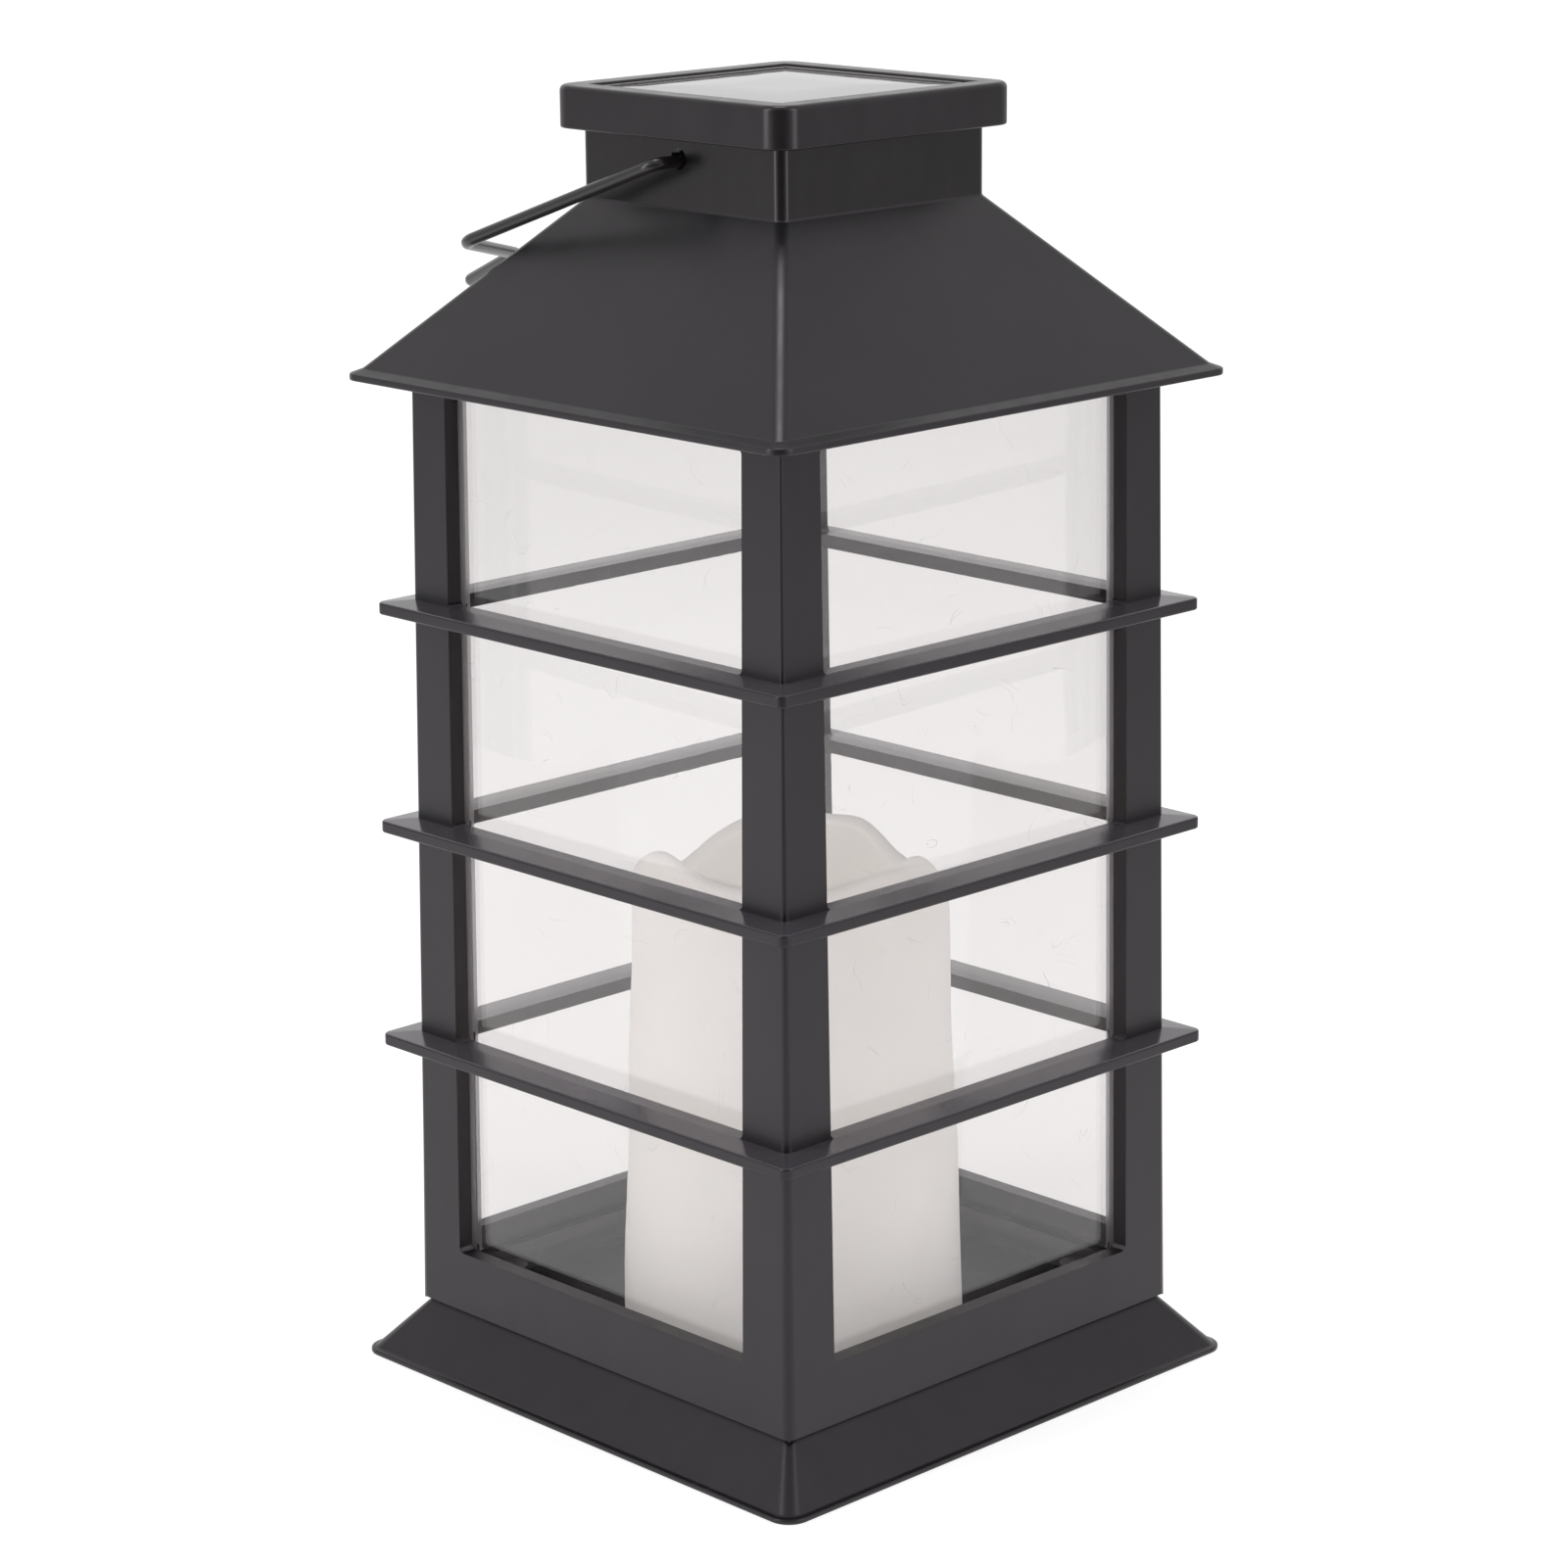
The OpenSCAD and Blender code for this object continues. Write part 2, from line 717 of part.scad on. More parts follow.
// Points of the candle's wall in one direction, outside up and inside down
function candle_section(a) = let (
        top = rim_top(a),
        r = candle_r - candle_taper * top / candle_h,
        round = candle_rim_t / 2
    ) [
        [candle_r, 0],
        [candle_r - candle_taper * 0.4, candle_h * 0.4],
        [r, top - round],
        [r - round * 0.3, top - round * 0.3],
        [r - round, top],
        [r - round * 1.7, top - round * 0.3],
        [r - candle_rim_t, top - round],
        [r - candle_t, top - 3 * round],
        [candle_r - candle_taper * 0.4 - candle_t, candle_h * 0.4],
        [candle_in_r, 0]
    ];

// Hollow frosted candle, open at the top
module candle() {
    n = len(candle_section(0));
    m = candle_turns;
    color("linen")
    translate([0, 0, deck_z])
        polyhedron(
            points = [for (i = [0:m - 1]) let (a = 360 * i / m)
                for (p = candle_section(a)) [p.x * cos(a), p.x * sin(a), p.y]],
            faces = [for (i = [0:m - 1]) for (j = [0:n - 1]) for (half = [0, 1])
                let (i1 = (i + 1) % m, j1 = (j + 1) % n)
                half == 0 ? [i * n + j, i * n + j1, i1 * n + j]
                    : [i1 * n + j, i * n + j1, i1 * n + j1]]
        );
}

module window_cuts(row) {
    for (turn = [0, 90])
        rotate([0, 0, turn])
            translate([0, 0, window_z(row) + window_h / 2])
                rotate([90, 0, 0])
                    linear_extrude(height = 2 * body_w, center = true)
                        rounded_rect(window_w, window_h, window_r);
}

// Solid from which a ring is left once the body is hollow
module ring_blank(row) {
    z = window_z(row) - ring_t;
    out = half_at(z) + ring_out;
    square_loft([
        [out, ring_r, z],
        [out, ring_r, z + ring_edge_t],
        [half_at(z) - bite, ring_r, z + ring_t]
    ]);
}

module window_cage() {
    difference() {
        union() {
            difference() {
                wall_loft(0, base_h, body_top, body_r);
                for (row = [0:rows - 1])
                    window_cuts(row);
            }
            for (row = [1:rows - 1])
                ring_blank(row);
        }
        wall_loft(wall_t, base_h - over, body_top + over);
    }
}

// Columns behind the posts with lips over the panes' edges, over the whole height
module corner_seats() {
    lips_in = wall_t + pane_slot;
    intersection() {
        wall_loft(wall_t - bite, base_h, body_top);
        corner_blocks(column_in);
    }
    intersection() {
        difference() {
            wall_loft(lips_in, pane_z, body_top);
            wall_loft(lips_in + lip_wall_t, pane_z - over, body_top + over);
        }
        corner_blocks(lip_in);
    }
}

// Where the corner seats stay: at the foot, behind each ring, at the top and round the lead
module seat_zones() {
    slab([body_w, body_w], [0, 0], base_h, pane_z + seat_lip_h);
    for (row = [1:rows - 1])
        slab([body_w, body_w], [0, 0], window_z(row) - lip_drop - seat_lip_h,
            window_z(row) - lip_drop);
    slab([body_w, body_w], [0, 0], body_top - tab_t, body_top);
    slab([body_w / 2, body_w / 2], [body_w / 4, -body_w / 4], base_h, body_top);
}

// Seats of the panes, and the ledge that they stand on
module pane_seats() {
    intersection() {
        corner_seats();
        seat_zones();
    }
    difference() {
        wall_loft(wall_t - bite, pane_z - ledge_h, pane_z);
        wall_loft(wall_t + pane_slot + lip_wall_t, pane_z - ledge_h - over, pane_z + over);
    }
}

// Spigot that centres the roof, and corner tabs for the roof's screws
module roof_seat() {
    difference() {
        square_plate(spigot_half, body_r, body_top, body_top + spigot_h);
        square_plate(spigot_half - spigot_t, 1, body_top - over, body_top + spigot_h + over);
    }
    intersection() {
        wall_loft(wall_t + pane_slot, body_top - tab_t, body_top);
        corner_blocks(tab_in);
    }
}

// Bosses for the base's screws, tied to the walls by ribs
module base_bosses() {
    rib_t = 1.6;
    rib_l = half_at(base_h) - wall_t + bite - screw_at;
    for (c = corners) {
        post(boss_r, screw_at * c, deck_z, boss_top);
        slab([rib_l, rib_t], [c.x * (screw_at + rib_l / 2), c.y * screw_at], base_h,
            pane_z - ledge_h + bite);
        slab([rib_t, rib_l], [c.x * screw_at, c.y * (screw_at + rib_l / 2)], base_h,
            pane_z - ledge_h + bite);
    }
}

// One-piece cage: posts, sill, rings and top rail
module body_frame() {
    color(plastic_black)
    difference() {
        union() {
            window_cage();
            pane_seats();
            roof_seat();
            base_bosses();
        }
        for (c = corners) {
            post(screw_r + screw_play, screw_at * c, deck_z - over, boss_top - over);
            post(screw_r + hole_play, screw_at * c, body_top - tab_t - over, body_top + over);
        }
        post(lead_r + lead_play, [lead_at, -lead_at], 0, body_top + spigot_h + over);
    }
}

// Clear pane behind the windows of one side
module pane() {
    out = wall_t + pane_play;
    color("azure", 0.35)
    rotate([90, 0, 90])
        linear_extrude(height = 2 * pane_half, center = true)
            polygon([
                [-half_at(pane_z) + out, pane_z],
                [-half_at(pane_z) + out + pane_t, pane_z],
                [-half_at(pane_top) + out + pane_t, pane_top],
                [-half_at(pane_top) + out, pane_top]
            ]);
}

module pane_front() {
    pane();
}

module pane_right() {
    rotate([0, 0, 90])
        pane();
}

module pane_back() {
    rotate([0, 0, 180])
        pane();
}

module pane_left() {
    rotate([0, 0, 270])
        pane();
}

module roof_outside() {
    square_loft([
        [eave_w / 2, eave_r, body_top],
        [eave_w / 2, eave_r, body_top + eave_t],
        [slope_half, hip_r, slope_z],
        [neck_half, hip_r, neck_z],
        [neck_half, hip_r, cap_z]
    ]);
}

// Hipped roof with its neck, soffit and screw bosses
module roof() {
    soffit_z = body_top + roof_t;
    inner_half = neck_half - roof_t;
    color(plastic_black)
    difference() {
        union() {
            difference() {
                roof_outside();
                square_loft([
                    [slope_half + (slope_z - soffit_z) * slope_run - roof_side_t, 1, soffit_z],
                    [inner_half, 1, slope_z + (slope_half - roof_side_t - inner_half) / slope_run],
                    [inner_half, 1, cap_z - bulkhead_t]
                ]);
                square_plate(roof_open_half, body_r, body_top - over, soffit_z + over);
            }
            intersection() {
                for (c = corners)
                    post(boss_r, screw_at * c, body_top, neck_z);
                square_loft([
                    [slope_half - roof_side_t / 2, hip_r, body_top],
                    [slope_half - roof_side_t / 2, hip_r, slope_z],
                    [neck_half - roof_side_t / 2, hip_r, neck_z]
                ]);
            }
        }
        for (c = corners) {
            post(screw_r + screw_play, screw_at * c, body_top - over, body_top + roof_boss_h);
            post(small_screw_r + hole_play, cap_screw_at * c, cap_z - bulkhead_t - over,
                cap_z + over);
        }
        post(lead_r + lead_play, [lead_neck, -lead_neck], neck_z, cap_z + over);
        translate([0, 0, pivot_hole_z])
            rotate([90, 0, 0])
                cylinder(d = pivot_hole_d, h = neck_w + 2 * over, center = true);
    }
}

// Square cap that holds the solar panel
module cap() {
    edge_z = top_z - cap_edge_r;
    color(plastic_black)
    difference() {
        union() {
            difference() {
                square_loft([
                    [cap_w / 2, cap_r, cap_z],
                    [cap_w / 2, cap_r, edge_z],
                    [cap_w / 2 - 0.3 * cap_edge_r, cap_r, edge_z + 0.7 * cap_edge_r],
                    [cap_w / 2 - cap_edge_r, cap_r, top_z]
                ]);
                square_plate(pocket_half, 2, gasket_z, top_z + over);
                square_plate(cap_hollow_half, 2, cap_z + cap_floor_t, top_z);
            }
            for (c = corners)
                post(3, cap_screw_at * c, cap_z + cap_floor_t - bite, gasket_z - 0.2);
        }
        for (c = corners)
            post(small_screw_r + screw_play, cap_screw_at * c, cap_z - over, gasket_z - 0.8);
        post(lead_r + lead_play, [lead_neck, -lead_neck], cap_z - over, gasket_z);
    }
}

module solar_board() {
    color("steelblue")
    square_plate(panel_half, 1.5, solar_board_z, resin_z);
}

module solar_cells() {
    color("darkslateblue")
    for (i = [0:cell_count - 1])
        slab([solar_cell_w, solar_cell_l],
            [(i - (cell_count - 1) / 2) * (solar_cell_w + solar_cell_gap), 0],
            resin_z, resin_z + solar_cell_t);
}

module panel_resin() {
    color("lightsteelblue", 0.5)
    difference() {
        square_plate(panel_half, 1.5, resin_z, resin_z + resin_t);
        for (i = [0:cell_count - 1])
            slab([solar_cell_w, solar_cell_l],
                [(i - (cell_count - 1) / 2) * (solar_cell_w + solar_cell_gap), 0],
                resin_z - over, resin_z + solar_cell_t);
    }
}

module panel_gasket() {
    color([0.08, 0.08, 0.08])
    difference() {
        square_plate(panel_half, 1.5, gasket_z, solar_board_z);
        square_plate(cap_hollow_half, 1.5, gasket_z - over, solar_board_z + over);
    }
}

// Wire handle, one bent rod with a hanging loop at its middle
module handle() {
    color([0.1, 0.1, 0.1])
    translate([0, 0, pivot_z])
        rotate([0, -handle_tilt, 0])
            bar(rounded_path(wire_corners), wire_d / 2, 12);
}

module solar_lead() {
    color([0.07, 0.07, 0.07])
    lead(lead_path, lead_r);
}

module base_screws() {
    color(steel)
    corner_screws(screw_at, screw_seat, screw_r, screw_head, boss_top - screw_seat - 2);
}

module roof_screws() {
    color(steel)
    corner_screws(screw_at, body_top - tab_t, screw_r, screw_head, roof_screw_l);
}

module cap_screws() {
    color(steel)
    corner_screws(cap_screw_at, cap_z - bulkhead_t, small_screw_r, small_head,
        gasket_z - 1.2 - cap_z + bulkhead_t);
}

base();
bottom_cover();
battery_door();
battery_cell();
contact_plate();
contact_spring();
battery_leads();
circuit_board();
board_components();
board_screws();
switch_body();
switch_knob();
led_stalk();
led();
led_leads();
candle();
body_frame();
pane_front();
pane_back();
pane_left();
pane_right();
roof();
cap();
solar_board();
solar_cells();
panel_resin();
panel_gasket();
handle();
solar_lead();
base_screws();
roof_screws();
cap_screws();
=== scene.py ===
"""Square solar lantern: satin black plastic cage with clear panes, a frosted LED candle, a solar
cap and a wire handle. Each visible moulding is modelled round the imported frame.

Sizes are in millimetres and are turned to metres when a mesh is made.
"""

import math

import bmesh
import bpy
from mathutils import Matrix, Vector, noise


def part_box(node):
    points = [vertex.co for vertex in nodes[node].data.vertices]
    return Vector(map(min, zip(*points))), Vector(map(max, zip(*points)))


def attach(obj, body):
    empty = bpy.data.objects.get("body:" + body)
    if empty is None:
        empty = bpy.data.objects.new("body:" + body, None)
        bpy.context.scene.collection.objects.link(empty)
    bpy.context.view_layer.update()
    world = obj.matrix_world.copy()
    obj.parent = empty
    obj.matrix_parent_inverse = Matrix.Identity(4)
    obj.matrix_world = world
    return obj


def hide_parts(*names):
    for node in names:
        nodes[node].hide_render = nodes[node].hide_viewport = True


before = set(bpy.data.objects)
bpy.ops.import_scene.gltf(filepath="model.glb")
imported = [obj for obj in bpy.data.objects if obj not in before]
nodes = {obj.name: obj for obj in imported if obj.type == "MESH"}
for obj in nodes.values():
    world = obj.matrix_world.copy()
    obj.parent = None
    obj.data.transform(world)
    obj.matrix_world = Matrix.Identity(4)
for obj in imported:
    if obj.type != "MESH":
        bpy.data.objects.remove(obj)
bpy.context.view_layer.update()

MM = 0.001


def span(name):
    """Lowest and highest corner of a CAD node, in millimetres."""
    low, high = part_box(name)
    return [v / MM for v in low], [v / MM for v in high]


# --- Sizes of the mouldings, from the frame where it holds them -------------------------------

BASE_HIGH = span("base")[1]
ROOF_LOW, ROOF_HIGH = span("roof")
CAP_LOW, CAP_HIGH = span("cap")
RESIN_LOW, RESIN_HIGH = span("panel_resin")
CANDLE_LOW, CANDLE_HIGH = span("candle")
PANE_LOW, PANE_HIGH = span("pane_front")

LIP_HALF = BASE_HIGH[0]
LIP_T = 1.1
LIP_OUT = 1.2
LIP_R = 5
FOOT_HALF = LIP_HALF - LIP_OUT
JOINT_Z = BASE_HIGH[2]
SKIRT_TOP_HALF = 57.5
SKIRT_T = 2
DECK_Z = CANDLE_LOW[2]
DECK_T = 2.2
CANDLE_RING_H = 3
CANDLE_RING_T = 1.6
CANDLE_WALL_T = 2.4
CANDLE_PLAY = 0.3

EAVE_Z = ROOF_LOW[2]
EAVE_HALF = ROOF_HIGH[0]
EAVE_T = 1.4
EAVE_STEP = 2.5
EAVE_R = 4
SLOPE_Z = EAVE_Z + EAVE_T + 1
NECK_Z = SLOPE_Z + 35.6
NECK_HALF = 29.75
ROOF_T = 2.2
ROOF_OPEN_HALF = 53.8
BULKHEAD_T = 2
CAP_Z = CAP_LOW[2]
CAP_HALF = CAP_HIGH[0]
CAP_R = 5.5
CAP_FLOOR_T = 2
TOP_Z = CAP_HIGH[2]
PANEL_RIM_W = 6
PANEL_BOARD_T = 1.2
PANEL_GASKET_T = 0.5
PANEL_GASKET_W = 3.5

WALL_HALF = 58.45
WALL_LEAN = 2.75
WALL_T = 3.6
CORNER_R = 2
SEAM_H = 0.7
SEAM_IN = 1.4
WINDOW_HALF = 44.95
WINDOW_SHIFT = 0.1
WINDOW_R = 1.2
WINDOW_H = 45.1
SILL_Z = JOINT_Z + 14.2
ROWS = 4
RING_T = 3.1
RING_EDGE_T = 2.6
RING_OUT = 5.8
RING_R = 2
PANE_T = 1.3
PANE_HALF = PANE_HIGH[0]
PANE_RIM = 0.6
PANE_R = 0.6
SEAT_PLAY = 0.3
SPIGOT_H = 4.4
SPIGOT_T = 2.4
SCREW_AT = 44
BOSS_R = 3.8
RIB_T = 1.6
TAB_T = 2.3

PIVOT_Z = 266.3
PIVOT_HOLE_Z = 266.8
PIVOT_HOLE_D = 4.4
WIRE_D = 2.7
HANDLE_TILT = 20.6


def wall_half(z):
    """Half width of the body's leaning wall at a height."""
    return WALL_HALF - WALL_LEAN * (z - JOINT_Z) / (EAVE_Z - JOINT_Z)


# --- Mesh tools --------------------------------------------------------------------------------

def make_object(name, verts, faces):
    """Object from points in millimetres, with outward faces."""
    mesh = bpy.data.meshes.new(name)
    mesh.from_pydata([Vector(v) * MM for v in verts], [], faces)
    mesh.update()
    obj = bpy.data.objects.new(name, mesh)
    bpy.context.scene.collection.objects.link(obj)
    build = bmesh.new()
    build.from_mesh(mesh)
    bmesh.ops.recalc_face_normals(build, faces=build.faces)
    build.to_mesh(mesh)
    build.free()
    return obj


def fillet(profile, steps=4):
    """Outline with each [half, z, radius] corner rounded to an arc of its radius."""
    rounded = []
    count = len(profile)
    for i, (half, z, radius) in enumerate(profile):
        here = Vector((half, z))
        if radius <= 0:
            rounded.append((half, z))
            continue
        before = (here - Vector(profile[i - 1][:2])).normalized()
        after = (Vector(profile[(i + 1) % count][:2]) - here).normalized()
        turn = before.angle(after)
        take = radius * math.tan(turn / 2)
        start = here - before * take
        end = here + after * take
        centre = here + (after - before).normalized() * radius / math.cos(turn / 2)
        for k in range(steps + 1):
            t = k / steps
            arm = (start - centre).slerp(end - centre, t) * radius
            rounded.append(tuple(centre + arm))
    return rounded


def square_level(half, radius, z, steps):
    """Points round a square of a given half width with round corners."""
    points = []
    for quarter in range(4):
        mid = math.radians(45 + 90 * quarter)
        cx = math.copysign(half - radius, math.cos(mid))
        cy = math.copysign(half - radius, math.sin(mid))
        for i in range(steps + 1):
            a = math.radians(90 * (quarter + i / steps))
            points.append((cx + radius * math.cos(a), cy + radius * math.sin(a), z))
    return points


def bridge(levels, closed):
    """Faces between levels of equal length; a closed sweep joins the last level to the first."""
    count = len(levels[0])
    faces = []
    for i in range(len(levels) if closed else len(levels) - 1):
        low = i * count
        high = (i + 1) % len(levels) * count
        for j in range(count):
            k = (j + 1) % count
            faces.append((low + j, low + k, high + k, high + j))
    if not closed:
        faces.append(tuple(range(count)))
        faces.append(tuple(range((len(levels) - 1) * count, len(levels) * count)))
    return faces


def square_sweep(name, profile, radius_at, closed=True, steps=8):
    """Moulding whose outline, as (half, z) points, runs round a square with round corners."""
    levels = [square_level(half, radius_at(half, z), z, steps) for half, z in profile]
    verts = [p for level in levels for p in level]
    return make_object(name, verts, bridge(levels, closed))


def corner_radius(outer_half, outer_r, least=0.4):
    """Corner radius that shrinks with the distance inside an outer wall."""
    return lambda half, z: max(least, outer_r - (outer_half - half))


def box_object(name, corner, opposite):
    """Plain block between two opposite corners, to be joined into a moulding."""
    (x0, x1), (y0, y1), (z0, z1) = (sorted(pair) for pair in zip(corner, opposite))
    verts = [(x, y, z) for z in (z0, z1) for x, y in ((x0, y0), (x1, y0), (x1, y1), (x0, y1))]
    return make_object(name, verts, bridge([verts[:4], verts[4:]], False))


def post_object(name, x, y, low, high, radius, steps=32):
    """Round boss, to be joined into a moulding."""
    levels = []
    for z in (low, high):
        levels.append([(x + radius * math.cos(math.tau * i / steps),
                        y + radius * math.sin(math.tau * i / steps), z) for i in range(steps)])
    return make_object(name, [p for level in levels for p in level], bridge(levels, False))


def apply_modifiers(obj):
    """Keeps the mesh that the object's modifiers give."""
    bpy.context.view_layer.update()
    shaped = bpy.data.meshes.new_from_object(
        obj.evaluated_get(bpy.context.evaluated_depsgraph_get()))
    obj.modifiers.clear()
    obj.data = shaped


def combine(obj, others, operation="UNION"):
    """Joins or cuts solids exactly, and deletes the ones that were used."""
    group = bpy.data.collections.new(obj.name + "_parts")
    for other in others:
        group.objects.link(other)
    change = obj.modifiers.new("combine", "BOOLEAN")
    change.operation = operation
    change.solver = "EXACT"
    change.operand_type = "COLLECTION"
    change.collection = group
    apply_modifiers(obj)
    for other in others:
        bpy.data.objects.remove(other)
    bpy.data.collections.remove(group)


def soften_edges(obj, width_mm):
    """Rounds the sharp edges of a moulding, outward and inward ones alike."""
    edge = obj.modifiers.new("soft_edges", "BEVEL")
    edge.width = width_mm * MM
    edge.segments = 2
    edge.limit_method = "ANGLE"
    edge.angle_limit = math.radians(50)
    edge.use_clamp_overlap = True
    apply_modifiers(obj)


def add_finish(obj, material, test):
    """Second material for the faces whose middle, in millimetres, and normal pass a test."""
    obj.data.materials.append(material)
    for face in obj.data.polygons:
        if test(face.center / MM, face.normal):
            face.material_index = len(obj.data.materials) - 1


def finish_mesh(obj, material, body, replaced, sharp=35):
    """Smooth shading up to an angle, the material, the body that the piece rides on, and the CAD
    nodes it takes the place of."""
    mesh = obj.data
    mesh.materials.clear()
    mesh.materials.append(material)
    mesh.shade_smooth()
    mesh.set_sharp_from_angle(angle=math.radians(sharp))
    weigh = obj.modifiers.new("even_shading", "WEIGHTED_NORMAL")
    weigh.keep_sharp = True
    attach(obj, body)
    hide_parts(*replaced)


# --- Materials ---------------------------------------------------------------------------------

def colour(hex_code):
    """Linear colour of an sRGB hex code."""
    parts = [int(hex_code[i:i + 2], 16) / 255 for i in (1, 3, 5)]
    return [c / 12.92 if c <= 0.04045 else ((c + 0.055) / 1.055) ** 2.4 for c in parts] + [1]


def add_node(tree, kind, inputs=None, **settings):
    """Adds a node; an input is a value or the socket that feeds it."""
    node = tree.nodes.new(kind)
    for key, value in settings.items():
        setattr(node, key, value)
    for key, value in (inputs or {}).items():
        if isinstance(value, bpy.types.NodeSocket):
            tree.links.new(value, node.inputs[key])
        else:
            node.inputs[key].default_value = value
    return node


def new_material(name):
    """Empty node material with the object's own coordinates."""
    material = bpy.data.materials.new(name)
    material.use_nodes = True
    tree = material.node_tree
    tree.nodes.clear()
    place = add_node(tree, "ShaderNodeTexCoord").outputs["Object"]
    return material, tree, place


def shell_plastic(name, dark, light, rough, grain_mm=0.45, grain_depth=0.02, ior=1.49):
    """PP, injection moulded in a fine spark-eroded tool: a satin black whose grain breaks up the
    highlights, with slight flow clouding and a few rub marks. The grain is coarser than real, so
    that it shows."""
    material, tree, place = new_material(name)
    clouds = add_node(tree, "ShaderNodeTexNoise",
                      {"Vector": place, "Scale": 1 / (22 * MM), "Detail": 3}).outputs["Fac"]
    clouding = add_node(tree, "ShaderNodeMapRange",
                        {"Value": clouds, "From Min": 0.35, "From Max": 0.7}).outputs["Result"]
    tint = add_node(tree, "ShaderNodeMix",
                    {"Factor": clouding, "A": colour(dark), "B": colour(light)},
                    data_type="RGBA").outputs["Result"]
    drawn_out = add_node(tree, "ShaderNodeVectorMath", {0: place, 1: (1, 1, 0.25)},
                         operation="MULTIPLY").outputs[0]
    rubs = add_node(tree, "ShaderNodeTexNoise",
                    {"Vector": drawn_out, "Scale": 1 / (5 * MM), "Detail": 4}).outputs["Fac"]
    satin = add_node(tree, "ShaderNodeMapRange",
                     {"Value": rubs, "From Min": 0.3, "From Max": 0.75,
                      "To Min": rough - 0.03, "To Max": rough + 0.05}).outputs["Result"]
    grain = add_node(tree, "ShaderNodeTexNoise",
                     {"Vector": place, "Scale": 1 / (grain_mm * MM), "Detail": 2}).outputs["Fac"]
    relief = add_node(tree, "ShaderNodeBump",
                      {"Height": grain, "Strength": 0.3, "Distance": grain_depth * MM}
                      ).outputs["Normal"]
    shader = add_node(tree, "ShaderNodeBsdfPrincipled",
                      {"Base Color": tint, "Roughness": satin, "Normal": relief, "IOR": ior,
                       "Specular Tint": colour("#fff6fd")})
    add_node(tree, "ShaderNodeOutputMaterial", {"Surface": shader.outputs[0]})
    return material


def clear_pane_sheet():
    """Polystyrene, moulded clear: a faint warm tint, soft waves and fine ripples that bend what
    lies behind it, and hairline scratches that catch the light."""
    material, tree, place = new_material("clear_polystyrene_moulded")
    waves = add_node(tree, "ShaderNodeTexNoise",
                     {"Vector": place, "Scale": 1 / (30 * MM), "Detail": 1}).outputs["Fac"]
    broad = add_node(tree, "ShaderNodeBump",
                     {"Height": waves, "Strength": 1.0, "Distance": 0.08 * MM}).outputs["Normal"]
    patches = add_node(tree, "ShaderNodeTexNoise",
                       {"Vector": place, "Scale": 1 / (45 * MM), "Detail": 0}).outputs["Fac"]
    rippled = add_node(tree, "ShaderNodeMapRange",
                       {"Value": patches, "From Min": 0.45, "From Max": 0.65}).outputs["Result"]
    ripples = add_node(tree, "ShaderNodeTexNoise",
                       {"Vector": place, "Scale": 1 / (2.6 * MM), "Detail": 1}).outputs["Fac"]
    ripple = add_node(tree, "ShaderNodeMath", {0: ripples, 1: rippled},
                      operation="MULTIPLY").outputs[0]
    relief = add_node(tree, "ShaderNodeBump",
                      {"Height": ripple, "Strength": 1.0, "Distance": 0.003 * MM,
                       "Normal": broad}).outputs["Normal"]
    sheet = add_node(tree, "ShaderNodeBsdfPrincipled",
                     {"Base Color": colour("#f0eeee"), "Roughness": 0.01, "IOR": 1.5,
                      "Transmission Weight": 1.0, "Normal": relief})
    lines = add_node(tree, "ShaderNodeTexNoise",
                     {"Vector": place, "Scale": 1 / (11 * MM), "Detail": 0}).outputs["Fac"]
    near_line = add_node(tree, "ShaderNodeMath", {0: lines, 1: 0.5, 2: 0.0012},
                         operation="COMPARE").outputs[0]
    pressed = add_node(tree, "ShaderNodeVectorMath", {0: place, 1: (1, 1, 1.7)},
                       operation="MULTIPLY").outputs[0]
    spots = add_node(tree, "ShaderNodeTexNoise",
                     {"Vector": pressed, "Scale": 1 / (8 * MM), "Detail": 0}).outputs["Fac"]
    worn = add_node(tree, "ShaderNodeMapRange",
                    {"Value": spots, "From Min": 0.65, "From Max": 0.7,
                     "To Min": 0.0, "To Max": 0.3}).outputs["Result"]
    scratch = add_node(tree, "ShaderNodeMath", {0: near_line, 1: worn},
                       operation="MULTIPLY").outputs[0]
    scuff = add_node(tree, "ShaderNodeBsdfDiffuse", {"Color": colour("#b9b6b6")})
    worn_sheet = add_node(tree, "ShaderNodeMixShader",
                          {0: scratch, 1: sheet.outputs[0], 2: scuff.outputs[0]})
    open_way = add_node(tree, "ShaderNodeBsdfTransparent", {"Color": colour("#f0eeee")})
    lamp_ray = add_node(tree, "ShaderNodeLightPath").outputs["Is Shadow Ray"]
    shader = add_node(tree, "ShaderNodeMixShader",
                      {0: lamp_ray, 1: worn_sheet.outputs[0], 2: open_way.outputs[0]})
    add_node(tree, "ShaderNodeOutputMaterial", {"Surface": shader.outputs[0]})
    return material


def pale_edge_strip():
    """Polystyrene, moulded clear, with a pale grey border that lets some light through: a
    painted highlight for the bright line along the pane's edge beside each opening."""
    material, tree, place = new_material("pale_pane_edge_painted_highlight")
    upright = add_node(tree, "ShaderNodeVectorMath", {0: place, 1: (1, 1, 0.3)},
                       operation="MULTIPLY").outputs[0]
    streaks = add_node(tree, "ShaderNodeTexNoise",
                     {"Vector": upright, "Scale": 1 / (6 * MM), "Detail": 2}).outputs["Fac"]
    tint = add_node(tree, "ShaderNodeMix",
                    {"Factor": streaks, "A": colour("#a8a5a8"), "B": colour("#c0bdbf")},
                    data_type="RGBA").outputs["Result"]
    shader = add_node(tree, "ShaderNodeBsdfPrincipled",
                      {"Base Color": tint, "Roughness": 0.4, "IOR": 1.5,
                       "Transmission Weight": 0.45})
    add_node(tree, "ShaderNodeOutputMaterial", {"Surface": shader.outputs[0]})
    return material


